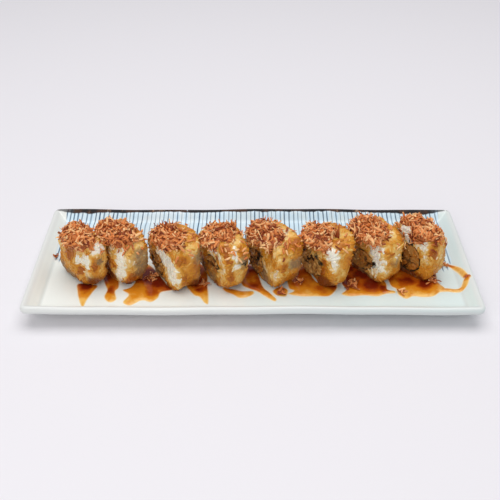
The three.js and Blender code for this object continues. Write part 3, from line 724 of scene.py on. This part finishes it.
# Seaweed: one sheet rolled round the filling, gone limp and nearly black. Its cut edge is ragged, so it
# shows between the filling and the rice only in places.
NORI = 0.9
NORI_SHORT = 0.1
NORI_WORN = 1.1
NORI_CROWN = 0.15
NORI_AROUND = 80
NORI_BLACK = (0.012, 0.012, 0.009, 1)
NORI_GREEN = (0.035, 0.040, 0.018, 1)

seaweed, shader, place = new_finish("wet_seaweed", Roughness=0.35, Coat_Weight=0.2, Coat_Roughness=0.2)
place.cloud(2.5, 3).colours(NORI_BLACK, (0.4, 0.7, NORI_GREEN)).into(shader, "Base Color")
place.cloud(0.8, 2).relief(0.15).into(shader, "Normal")


def covered(angle, number, end):
    """How far the filling covers the seaweed's edge round the hole, from 0 to 1."""
    spot = np.stack([3 * np.sin(angle), 3 * np.cos(angle), np.full_like(angle, 5.0 * end)], -1)
    return smooth_step(1.1 + 1.7 * noise(spot, 1.6, number + 40))


for number, slice_ in enumerate(SLICES, 1):
    half = slice_["thick"] / 2
    angle = full_turn(NORI_AROUND)
    front, back = [end * (half - NORI_SHORT - NORI_WORN * covered(angle, number, end)) for end in (-1, 1)]
    if slice_["closed"]:
        front = np.full_like(angle, -half + CAP + GAP)
    middle = np.zeros_like(angle)
    level = [front, front - NORI_CROWN, front, middle, back, back + NORI_CROWN, back, middle]
    inset = GAP + NORI * np.array([1, 0.5, 0, 0, 0, 0.5, 1, 1])[:, None]
    section = bore_point(slice_, angle, inset)
    grid = np.stack([section[..., 0], np.concatenate(level), section[..., 1]], -1)
    points = stand(slice_, slumped(slice_, grid.reshape(-1, 3)))
    piece = make_piece(f"seaweed_{number}", points, loft_faces(*grid.shape[:2], True))
    dress(piece, seaweed, "seaweed", f"nori_{number}")

# Filling: a shrimp fried in batter, cut across with the roll. The cut shows brown and olive chunks of
# batter and meat with dark cracks between them, and crumbs stand on it.
BATTER_INSET = 2 * GAP + NORI
BATTER_PROUD = 0.1
LIP = 1.25
LIP_RAGGED = 1.3
BATTER_AROUND = 84
CUT_RINGS = 26
BARREL_RINGS = 5
CHUNKS = 10
CRUMBS = 200
CRUMB_SIZE = (3.0, 2.3, 1.5)
CRUMB_SPACING = 1.6
CRACK_WIDTH = 1.4
CRACK_DEPTH = 1.2
BATTER_SEED = 300
BROWNED = [0.27, 0.27, 0.42, 0.35, 0.3, 0.48, 0.3, 0.3]
CRUST = (0.16, 0.048, 0.008, 1)
BATTER_BROWN = (0.50, 0.175, 0.020, 1)
BATTER_OLIVE = (0.43, 0.195, 0.042, 1)
SHRIMP = (0.66, 0.37, 0.11, 1)
CRACK = (0.020, 0.009, 0.004, 1)

batter, shader, place = new_finish(
    "fried_filling", Roughness=0.42, Specular_IOR_Level=0.28, Coat_Weight=0.06, Coat_Roughness=0.2)
chunk = place.tone("chunk") + (place.cloud(2.4, 3) - 0.5) * 0.8
colour = chunk.colours(
    CRUST, (0.05, 0.3, BATTER_BROWN), (0.4, 0.65, BATTER_OLIVE), (0.75, 1.05, SHRIMP))
place.tone("crack").mix(colour, CRACK).into(shader, "Base Color")
place.cloud(1.0, 3).relief(0.35).into(shader, "Normal")

for number, slice_ in enumerate(SLICES, 1):
    rng = np.random.default_rng(BATTER_SEED + number)
    half = slice_["thick"] / 2
    front = -half + CAP + 2 * GAP if slice_["closed"] else -half - BATTER_PROUD
    angle = full_turn(BATTER_AROUND)

    # Two cut faces, whose lip covers the seaweed's edge in places, on the ends of a barrel.
    circle = np.dstack([5 * np.sin(angle), 5 * np.cos(angle), 0 * angle])
    ragged = LIP + LIP_RAGGED * smooth_step(1.6 * noise(circle, 2.2, number + 60))
    lips = [BATTER_INSET - ragged * covered(angle, number, end) for end in (-1, 1)]
    if slice_["closed"]:
        lips[0] = np.full_like(angle, BATTER_INSET)
    disc, side = np.linspace(FIRST_RING, 1, CUT_RINGS)[:, None], np.ones((BARREL_RINGS, 1))
    cuts = [bore_point(slice_, angle, lip, disc) for lip in lips]
    section = np.concatenate([cuts[0], bore_point(slice_, angle, BATTER_INSET, side), cuts[1][::-1]])
    part = np.concatenate([disc, side, disc[::-1]])
    barrel = np.linspace(front + 0.9, half - 0.8, BARREL_RINGS)
    along = np.concatenate([np.full(CUT_RINGS, front), barrel, np.full(CUT_RINGS, half)])[:, None]

    # Chunks: a point belongs to the nearest of some random hearts, and the cracks run where the two
    # nearest are as far away as each other.
    end = np.sign(along) * np.ones_like(angle)
    spot = np.dstack([section, end * 9])
    heart_angle = rng.uniform(0, 2 * np.pi, CHUNKS)
    heart = bore_point(slice_, heart_angle, BATTER_INSET, 0.9 * np.sqrt(rng.uniform(0, 1, CHUNKS)))
    bent = section + 1.7 * np.stack([noise(spot, 3, number), noise(spot, 3, number + 3)], -1)
    away = (bent[..., None, :] - heart) * rng.uniform(0.7, 1.3, (CHUNKS, 2))
    away = np.linalg.norm(away, axis=-1)
    nearest = np.argmin(away, -1)
    edge = np.diff(np.sort(away, -1)[..., :2])[..., 0]
    crack = (1 - smooth_step(edge / CRACK_WIDTH)) * smooth_step(0.7 + noise(spot, 3.4, number + 8))
    proud = 0.3 + rng.uniform(-0.7, 0.9, CHUNKS)[nearest] * smooth_step(edge / 2) - CRACK_DEPTH * crack
    proud = proud + 0.5 * noise(spot, 1.8, number + 21) + 0.7 * noise(spot, 4, number + 22)
    tall = np.where(part >= 1, 0, proud)
    grid = np.stack([section[..., 0], along + end * tall, section[..., 1]], -1)
    hue = 0.45 * rng.uniform(0, 1, CHUNKS)[nearest] + BROWNED[number - 1]
    hue = hue + 0.2 * noise(spot, 3, number + 2)
    crack = np.maximum(crack, near_places(grid, number, "hole"))
    tones = {"chunk": with_poles(hue), "crack": with_poles(crack)}

    weight = (part < 0.97) * (proud > -0.5) * 1.0
    if slice_["closed"]:
        weight[:CUT_RINGS + BARREL_RINGS] = 0
    spots, facing, row, column = spread(grid, weight, CRUMBS, CRUMB_SPACING, rng)
    sizes = np.array(CRUMB_SIZE) * rng.uniform(0.5, 1.15, (len(spots), 3))
    crumbs, faces = grains(spots - 0.3 * facing, facing, sizes, rng)
    crumb_hue = hue[row, column] + rng.normal(0.08, 0.28, len(spots))
    crumb_tones = {"chunk": np.repeat(crumb_hue, crumbs.shape[1]), "crack": np.zeros(crumbs[..., 0].size)}
    core = (with_poles(grid), loft_faces(*end.shape, False), tones)
    points, faces, tones = joined([core, (*many(crumbs, faces), crumb_tones)])
    piece = make_piece(f"filling_{number}", stand(slice_, slumped(slice_, points)), faces, tones)
    dress(piece, batter, "tempura", f"tempura_{number}")

# Flakes: crisp fried shavings strewn over the top of each slice, so each heap is a low mound of curled
# strips, a few millimetres long, that spills over the cut face.
HEAP_SUNK = 3
HEAP_COVER = 1.5
HEAP_DENT = 6
HEAP_POLE = 0.06
HEAP_RINGS = 30
HEAP_AROUND = 64
HEAP_FACTS = ("wide", "long", "across", "along", "high", "bare")
NOWHERE = (0, 0, -99, 1)
# Each heap: its half width and half length, its middle, its height, and the place (across, along, up,
# reach) that it leaves bare.
HEAPS = [dict(zip(HEAP_FACTS, row)) for row in [
    (16.5, 12.5, 2.5, -1.5, 6, NOWHERE),
    (19, 13.5, -1, -1.5, 5, NOWHERE),
    (18, 13.5, -1, -2.5, 4, NOWHERE),
    (15, 15.5, -1.5, -0.5, 4, NOWHERE),
    (18, 14, -2, -5, 5.5, NOWHERE),
    (17, 13.5, -0.5, -4, 5, (13.5, 1, 41, 5.5)),
    (19, 14, -2.5, -4, 5, NOWHERE),
    (18.5, 13.5, 2, -1, 6, (-6, -11, 38, 8)),
]]
UPRIGHT = {"slice": 6, "across": 10, "along": 4, "foot": 38, "length": 16}
UPRIGHT_RINGS = 9
UPRIGHT_SECTION = np.array([[-0.7, -0.7], [0.7, 0.3], [0.7, 0.7], [-0.7, -0.3]])
FLAKE_RINGS = 6
FLAKE_SECTION = np.array([[-1, -1], [1, -1], [1, 1], [-1, 1]])
FLAKE_CANDIDATES = 1100
FLAKE_SPACING = 1.1
FLAKE_SEED = 500
STRAYS = 60
STRAY_SPACING = 2.0
FLAKE_DARK = (0.24, 0.038, 0.008, 1)
FLAKE_ORANGE = (0.76, 0.250, 0.064, 1)
FLAKE_PALE = (0.97, 0.58, 0.27, 1)

crisp, shader, place = new_finish(
    "fried_flakes", Roughness=0.5, Specular_IOR_Level=0.3, Subsurface_Weight=0.08,
    Subsurface_Scale=0.0015)
tone = place.tone("tone") + (place.cloud(1.8, 2) - 0.5) * 0.3
colour = tone.colours(FLAKE_DARK, (0.0, 0.5, FLAKE_ORANGE), (0.5, 1.0, FLAKE_PALE))
colour.into(shader, "Base Color")
place.cloud(0.7, 2).relief(0.1).into(shader, "Normal")


def curled_flakes(centres, normals, length, rng, tilt=0.3):
    """Many curled strips in one go. Each follows an arc of a circle in a random direction in the
    surface, twists about it, narrows to its ends, and has a flat four-sided section. A long one is
    wide as well."""
    count = len(centres)
    s = np.linspace(-0.5, 0.5, FLAKE_RINGS)[None, :]
    reach = s * length[:, None]
    curve = rng.uniform(0.06, 0.36, (count, 1)) * rng.choice([-1, 1], (count, 1))
    ahead, lift = np.sin(curve * reach) / curve, (1 - np.cos(curve * reach)) / curve
    sway = rng.normal(0, 0.05, (count, 1)) * reach**2
    wide = (rng.uniform(0.36, 0.75, (count, 1)) + 0.04 * length[:, None]) * (1 - 0.5 * np.abs(2 * s) ** 3)
    thick = rng.uniform(0.15, 0.26, (count, 1)) * np.ones_like(s)
    twist = rng.normal(0, 0.45, (count, 1)) + rng.normal(0, 1.0, (count, 1)) * s
    side, rise = FLAKE_SECTION[:, 0] * wide[..., None], FLAKE_SECTION[:, 1] * thick[..., None]
    cos, sin = np.cos(twist)[..., None], np.sin(twist)[..., None]
    across = sway[..., None] + side * cos - rise * sin
    out = lift[..., None] + side * sin + rise * cos
    local = np.stack([ahead[..., None] + 0 * side, across, out], -1)
    ways = ways_in_surface(normals, tilt, rng)
    points = centres[:, None, None] + np.einsum("nskc,ncd->nskd", local, ways)
    ends = points[:, [0, -1]].mean(2)
    flakes = np.concatenate([points.reshape(count, -1, 3), ends], 1)
    return flakes, loft_faces(FLAKE_RINGS, len(FLAKE_SECTION), False)


def flake_tones(mean, each, rng):
    """One tone for each flake, round its mean, with its two tips paler, as they fry drier."""
    tone = np.repeat(np.clip(rng.normal(mean, 0.3), 0, 1.1)[:, None], each, 1)
    corners = len(FLAKE_SECTION)
    tone[:, :corners] += 0.2
    tone[:, -corners - 2:] += 0.2
    return tone


for number, (slice_, heap) in enumerate(zip(SLICES, HEAPS), 1):
    rng = np.random.default_rng(FLAKE_SEED + number)

    # The heap's core is a squat ball with lumps, dented where the slice stays bare.
    down = np.linspace(np.pi - HEAP_POLE, HEAP_POLE, HEAP_RINGS)[:, None]
    turn = full_turn(HEAP_AROUND)
    ball = np.dstack([np.sin(down) * np.cos(turn), np.sin(down) * np.sin(turn), np.cos(down) + 0 * turn])
    half_sizes = np.array([heap["wide"], heap["long"], heap["high"] + HEAP_SUNK])
    centre = np.array([heap["across"], heap["along"], ROLL_HEIGHT - BASE_SAG - HEAP_SUNK])
    grid = centre + ball * (half_sizes - HEAP_COVER)
    *bare_at, reach = heap["bare"]
    bare = smooth_step(1.4 - np.linalg.norm(grid - np.array(bare_at), axis=-1) / reach)
    grid = grid - HEAP_DENT * ball * bare[..., None]
    lumps = noise(grid, 5.5, number)
    grid = grid + ball * (1.9 * lumps + 0.6 * noise(grid, 2, number + 5) - 0.5)[..., None]
    # The core is painted dark red-brown, darkest in its hollows, as the shade deep in the heap.
    core = (with_poles(grid), loft_faces(*lumps.shape, False), {"tone": 0.22 + 0.2 * with_poles(lumps)})

    # Flakes lie on the core where it is outside the slice, and a few strays lie on the rice near the top.
    section = np.abs(grid[..., 0] / (ROLL_WIDTH / 2)) ** SQUARENESS
    section = section + np.abs((grid[..., 2] + BASE_SAG) / (ROLL_HEIGHT / 2) - 1) ** SQUARENESS
    inside = (section < 0.97) & (np.abs(grid[..., 1]) < slice_["thick"] / 2 - 0.3)
    weight = (ball[..., 2] > -0.6) * ~inside * (1.2 + ball[..., 2]) * (bare < 0.3)
    spots, facing, row, column = spread(grid, weight, FLAKE_CANDIDATES, FLAKE_SPACING, rng)
    lift = rng.uniform(-0.3, 1.5, len(spots))
    length = rng.choice([1, 1, 1.5], len(spots)) * rng.uniform(3.4, 8, len(spots))
    flakes, flake_faces = curled_flakes(spots + facing * lift[:, None], facing, length, rng)
    strewn, share = rice_grid(slice_, number)
    near_top = smooth_step((strewn[..., 2] - 24) / 12) ** 2 * (share > 0.3)
    stray_spots, facing, _, _ = spread(slumped(slice_, strewn), near_top, STRAYS, STRAY_SPACING, rng)
    length = rng.uniform(3, 7, len(stray_spots))
    strays, _ = curled_flakes(stray_spots + 0.5 * facing, facing, length, rng, 0.08)
    flakes = np.concatenate([flakes, strays])
    # Flakes that lie lower on the heap are painted darker, as the shade in its hollows.
    proud = np.append(lumps[row, column] + 0.35 * lift, np.full(len(strays), 0.6))
    tone = flake_tones(0.34 + 0.34 * proud, flakes.shape[1], rng)
    parts = [core, (*many(flakes, flake_faces), {"tone": tone})]

    # One long flake stands upright, swaying a little and narrowing to its tip.
    if number == UPRIGHT["slice"]:
        up = np.linspace(0, 1, UPRIGHT_RINGS)[:, None]
        width = 1.6 * (1 - smooth_step(up / 1.05)) + 0.25
        across = UPRIGHT["across"] + UPRIGHT_SECTION[:, 0] * width + 0.5 * np.sin(5 * (up - 0.5))
        along = UPRIGHT["along"] + UPRIGHT_SECTION[:, 1] * width
        upright = np.stack([across, along, UPRIGHT["foot"] + UPRIGHT["length"] * up + 0 * across], -1)
        tone = {"tone": with_poles(0.02 + 0.3 * up + 0 * across)}
        parts.append((with_poles(upright), loft_faces(*across.shape, False), tone))
    points, faces, tones = joined(parts)
    piece = make_piece(f"flake_heap_{number}", stand(slice_, points), faces, tones)
    dress(piece, crisp, "flakes", f"flakes_{number}")

# Sauce: sweet soy glaze spooned over the roll. It runs from under the slices to the front in thin
# pools with a rounded edge, amber where it is thin and nearly black red where it stands deep. It is
# also painted darker under and against the slices, as their shade.
POOLS = [
    [(-134, -29), (-133, -40), (-130, -50), (-127, -57), (-125, -57), (-124, -50), (-121, -40),
     (-119, -31)],
    [(-121, -6), (-114, -29), (-111, -37), (-112, -45), (-109, -51), (-105, -52), (-102, -48),
     (-104, -39), (-102, -31), (-108, -3)],
    [(-92, -31), (-99, -37), (-94, -43), (-97, -52), (-91, -56), (-83, -50), (-76, -52), (-71, -47),
     (-69, -40), (-60, -37), (-64, -32), (-84, -3)],
    [(-51, -7), (-51, -31), (-48, -38), (-44, -44), (-40, -46), (-36, -53), (-33, -54), (-33, -45),
     (-34, -34), (-37, -6)],
    [(-23, -34), (-21, -39), (-15, -43), (-10, -47), (-4, -46), (1, -42), (0, -38), (-8, -38), (-14, -36)],
    [(-13, -6), (-9, -29), (-4, -35), (3, -39), (9, -45), (16, -51), (18, -48), (13, -40), (8, -32),
     (1, -6)],
    [(15, -38), (18, -44), (25, -45), (27, -37), (21, -33)],
    [(27, -6), (27, -33), (31, -38), (27, -42), (36, -45), (47, -45), (57, -45), (62, -40), (65, -33),
     (63, -25), (50, -27), (41, -4)],
    [(66, 0), (68, -28), (71, -36), (67, -42), (73, -45), (84, -44), (94, -45), (101, -42), (108, -41),
     (108, -38), (103, -36), (103, -29), (99, -21), (82, 1)],
    [(104, 1), (105, -29), (109, -36), (110, -43), (115, -48), (121, -45), (128, -46), (136, -45),
     (142, -40), (147, -35), (143, -27), (143, -15), (134, -17), (116, 3)],
]
POOL_STEPS = 8
# The last pool also has two trails, each a width and a route, and a drop at the end of them.
TRAILS = [
    (5, [(138, -38), (147, -37), (155, -38), (160.5, -35.5), (163.6, -29.5)]),
    (4.4, [(140, -20), (141, -9), (148, -4), (156, -6), (161, -14), (164, -26)]),
]
TRAIL_STEPS = 24
DROP_AT = (164.8, -28)
DROP_RADIUS = 2.6
DROP_HEIGHT = 1.2
# Where the sauce stands deep: x, y and how far that reaches.
DEEP = np.array([
    (-128, -32, 9), (-119, -24, 13), (-111, -15, 12), (-110, -38, 7), (-80, -20, 18), (-70, -28, 17),
    (-76, -38, 11), (-46, -14, 13), (-43, -28, 9), (-40, -38, 7), (-6, -12, 13), (0, -33, 9), (8, -27, 9),
    (33, -14, 12), (60, -31, 7), (72, -12, 12), (74, -28, 13), (90, -32, 13), (100, -36, 7), (86, -20, 12),
    (108, -6, 9), (118, -28, 9), (133, -30, 10), (143, -20, 6), (156, -6, 5), (164, -27, 5),
])
SAUCE_CELL = 0.7
SAUCE_DEPTH = 1.0
SAUCE_GAP = 0.04
MENISCUS = 2.8
PROBE = 0.05
RIM_MOVES = 3
NET_MARGIN = 4
FOOT_HALF = 16
# How far from a slice's foot the sauce is darker, as pooled sauce and as the slice's painted shade.
WET_AND_SHADE_REACH = 16
SAUCE_EDGE = (0.88, 0.78, 0.55, 1)
SAUCE_THIN = (0.84, 0.49, 0.115, 1)
SAUCE_AMBER = (0.70, 0.245, 0.013, 1)
SAUCE_BROWN = (0.45, 0.082, 0.004, 1)
SAUCE_DARK = (0.19, 0.014, 0.003, 1)

sauce, shader, place = new_finish("sweet_sauce", Roughness=0.1, Specular_IOR_Level=0.35)
# Darker where the sauce stands deep, and painted darker near the slices as their shade.
deep = place.tone("deep") + (place.cloud(7, 3) - 0.5) * 0.8
colour = deep.colours(
    SAUCE_THIN, (-0.05, 0.28, SAUCE_AMBER), (0.28, 0.68, SAUCE_BROWN), (0.62, 1.05, SAUCE_DARK))
place.tone("film").colours(SAUCE_EDGE, (0.0, 1.1, colour)).into(shader, "Base Color")
place.cloud(5, 1).relief(0.15).into(shader, "Normal")


def inside_outline(points, outline):
    """How far points lie inside a closed outline, negative outside: the distance to its nearest side,
    with its sign from how many sides a ray along +X crosses."""
    start = outline[None]
    way = np.roll(outline, -1, 0)[None] - start
    from_start = points[:, None] - start
    part = np.clip((from_start * way).sum(-1) / (way**2).sum(-1), 0, 1)
    away = np.linalg.norm(from_start - part[..., None] * way, axis=-1).min(1)
    px, py = points[:, None, 0], points[:, None, 1]
    spans = (start[..., 1] > py) != (start[..., 1] + way[..., 1] > py)
    rise = np.where(way[..., 1] == 0, 1e-9, way[..., 1])
    crossing = start[..., 0] + (py - start[..., 1]) / rise * way[..., 0]
    odd = (spans & (px < crossing)).sum(1) % 2 == 1
    return np.where(odd, away, -away)


def inside_strip(points, route, width):
    """How far points lie inside a strip with round ends along a curve."""
    return width / 2 - np.linalg.norm(points[:, None] - route[None], axis=-1).min(1)


def standing_deep(spots):
    """1 in the places where the sauce stands deep and looks dark, falling to 0 at their reach."""
    bend = [noise(np.column_stack([spots, 0 * spots[:, 0]]), 7, k) for k in (81, 82)]
    away = (spots + 2.5 * np.stack(bend, 1))[:, None] - DEEP[:, :2]
    return smooth_step(1.25 * (1 - (np.linalg.norm(away, axis=-1) / DEEP[:, 2]).min(1)))


def near_slices(x, y):
    """1 under and against a slice, falling to 0 a set reach from its foot."""
    best = np.full(x.shape, 99.0)
    for slice_ in SLICES:
        across, along = turned(x - slice_["x"], y - slice_["y"], 90 - slice_["turn"])
        past_side = np.maximum(np.abs(across) - FOOT_HALF, 0)
        past_face = np.maximum(np.abs(along) - slice_["thick"] / 2, 0)
        best = np.minimum(best, np.hypot(past_side, past_face))
    return smooth_step(1 - best / WET_AND_SHADE_REACH)


for number, corners in enumerate(POOLS, 1):
    outline = through(corners, POOL_STEPS, closed=True)
    strips = []
    if number == len(POOLS):
        strips = [(through(route, TRAIL_STEPS), width) for width, route in TRAILS]
        strips.append((np.array([DROP_AT]), 2 * DROP_RADIUS))

    def within(points):
        """How far points lie inside the pool, its trails or its drop."""
        return np.max([inside_outline(points, outline)] + [inside_strip(points, *one) for one in strips], 0)

    # Squares of a net whose middles lie inside, with the corners at their rim moved on to the outline
    # along the slope of the distance to it.
    span = np.concatenate([outline] + [route for route, _ in strips])
    axes = [np.arange(a, b, SAUCE_CELL) for a, b in zip(span.min(0) - NET_MARGIN, span.max(0) + NET_MARGIN)]
    net = np.stack(np.meshgrid(*axes, indexing="ij"), -1)
    middles = net[:-1, :-1] + SAUCE_CELL / 2
    filled = within(middles.reshape(-1, 2)).reshape(middles.shape[:2]) > 0
    touching = np.zeros(net.shape[:2], int)
    for i, j in np.ndindex(2, 2):
        touching[i:i + filled.shape[0], j:j + filled.shape[1]] += filled
    used = touching > 0
    order = -np.ones(net.shape[:2], int)
    order[used] = np.arange(used.sum())
    flat = net[used]
    rim = touching[used] < 4
    for _ in range(RIM_MOVES):
        depth = within(flat[rim])
        ahead = np.stack([within(flat[rim] + step) - depth for step in PROBE * np.eye(2)], -1) / PROBE
        flat[rim] -= depth[:, None] * ahead / np.maximum((ahead**2).sum(-1, keepdims=True), 0.3)

    # The film has a rounded edge, and is a little thicker further in. The drop is a dome.
    depth = np.where(rim, 0, np.maximum(within(flat), 0))
    film = SAUCE_DEPTH * smooth_step(depth / MENISCUS) * (0.62 + 0.38 * np.clip(depth / 5, 0, 1))
    if strips:
        to_drop = np.linalg.norm(flat - np.array(DROP_AT), axis=-1) / DROP_RADIUS
        film = film + DROP_HEIGHT * np.sqrt(np.clip(1 - to_drop**2, 0, 1))
    ground = plate_top(flat[:, 0], flat[:, 1]) + SAUCE_GAP
    i, j = np.nonzero(filled)
    square = np.stack([order[i, j], order[i + 1, j], order[i + 1, j + 1], order[i, j + 1]], 1)
    inner = np.nonzero(~rim)[0]
    below = np.arange(len(flat))
    below[inner] = len(flat) + np.arange(len(inner))
    top, bottom = np.column_stack([flat, ground + film]), np.column_stack([flat[inner], ground[inner]])
    # Darker near the slices, where the sauce pools against them and their shade is painted in.
    tone = 0.06 + 0.36 * near_slices(flat[:, 0], flat[:, 1]) + 0.2 * np.clip(depth / 9, 0, 1)
    tone = tone + 0.54 * standing_deep(flat) - 0.2 * (1 - np.clip(depth / 1.5, 0, 1))
    tones = {"deep": np.append(tone, tone[inner]), "film": np.append(depth, depth[inner])}
    at_rim = rim[square].any(1)
    faces = [square[~at_rim], square[at_rim], below[square][:, ::-1]]
    piece = make_piece(f"sauce_pool_{number}", np.concatenate([top, bottom]), faces, tones, (1, 2))
    dress(piece, sauce, "sauce", f"sauce_{number}")

# Fallen flakes: the same fried shavings, in small clumps where they slid off the slices on to the
# plate and into the sauce.
FALLEN_SEED = 700
FALLEN_GAP = 0.15
# Each clump: x, y, how many flakes, how far they are spread, and about how long they are.
FALLEN = [
    (-158, 6, 3, 2, 7),
    (-78, -22, 22, 4.5, 6),
    (-37, -30, 6, 4, 8),
    (22, -41.5, 8, 2.4, 7),
    (36, -28, 9, 2.8, 7),
    (76, -32, 18, 4, 7.5),
    (113, -40, 9, 2.4, 6),
    (138, -27, 12, 3, 6.5),
    (150.5, -4.5, 10, 3, 6.5),
]

for number, (x, y, count, loose, longest) in enumerate(FALLEN, 1):
    rng = np.random.default_rng(FALLEN_SEED + number)
    spots = np.array([x, y]) + rng.normal(0, 0.5, (count, 2)) * loose
    height = plate_top(spots[:, 0], spots[:, 1]) + 1.3 + rng.uniform(0, 1.4, count)
    length = longest * rng.uniform(0.6, 1.1, count)
    upwards = np.tile([0.0, 0.0, 1.0], (count, 1))
    flakes, faces = curled_flakes(np.column_stack([spots, height]), upwards, length, rng, 0.12)
    flakes[..., 2] = np.maximum(flakes[..., 2], plate_top(flakes[..., 0], flakes[..., 1]) + FALLEN_GAP)
    tone = flake_tones(np.full(count, 0.38), flakes.shape[1], rng)
    piece = make_piece(f"fallen_flakes_{number}", *many(flakes, faces), {"tone": tone})
    dress(piece, crisp, "flakes", f"fallen_{number}")

# Studio: a plain pale floor under a broad soft light from above and a weaker one from the front left,
# seen from the front and 35 degrees above the plate.
FLOOR_HALF = 4.0
FLOOR_DROP = 0.3
LENS = 58.9
SENSOR = 36
CAMERA_AT = (-2, -529.3, 392.9)
CAMERA_TILT = 55
SKY = (0.97, 0.97, 1.0, 1)
SKY_STRENGTH = 0.41

floor_mesh = bpy.data.meshes.new("studio_floor")
corners = [(-1, -1), (1, -1), (1, 1), (-1, 1)]
places = [(FLOOR_HALF * x, FLOOR_HALF * y, -FLOOR_DROP * MM) for x, y in corners]
floor_mesh.from_pydata(places, [], [(0, 1, 2, 3)])
studio_floor = bpy.data.objects.new("studio_floor", floor_mesh)
bpy.context.scene.collection.objects.link(studio_floor)
paper, shader, place = new_finish("floor_paper", Roughness=0.9, Base_Color=(0.81, 0.79, 0.82, 1))
floor_mesh.materials.append(paper)


def soft_light(name, place, aim, size, watts):
    """A soft light as large as its size in metres, at a place in millimetres, facing a point."""
    data = bpy.data.lights.new(name, "AREA")
    data.shape = "RECTANGLE"
    data.size, data.size_y = size
    data.energy = watts
    lamp = bpy.data.objects.new(name, data)
    lamp.location = [value * MM for value in place]
    away = np.array(place, float) - np.array(aim, float)
    flat = math.hypot(away[0], away[1])
    lamp.rotation_euler = (math.atan2(flat, away[2]), 0, math.atan2(away[1], away[0]) + math.pi / 2)
    bpy.context.scene.collection.objects.link(lamp)


soft_light("top_light", (0, 150, 1500), (0, 0, 0), (1.6, 1.2), 16)
soft_light("front_light", (-380, -1100, 850), (0, 0, 20), (1.0, 0.7), 5.2)
world = bpy.data.worlds.new("studio")
world.use_nodes = True
sky = world.node_tree.nodes["Background"]
sky.inputs["Color"].default_value = SKY
sky.inputs["Strength"].default_value = SKY_STRENGTH
bpy.context.scene.world = world
bpy.context.scene.view_settings.view_transform = "Standard"

camera_data = bpy.data.cameras.new("camera")
camera_data.lens = LENS
camera_data.sensor_width = SENSOR
camera = bpy.data.objects.new("camera", camera_data)
camera.location = [value * MM for value in CAMERA_AT]
camera.rotation_euler = (math.radians(CAMERA_TILT), 0, 0)
bpy.context.scene.collection.objects.link(camera)
bpy.context.scene.camera = camera
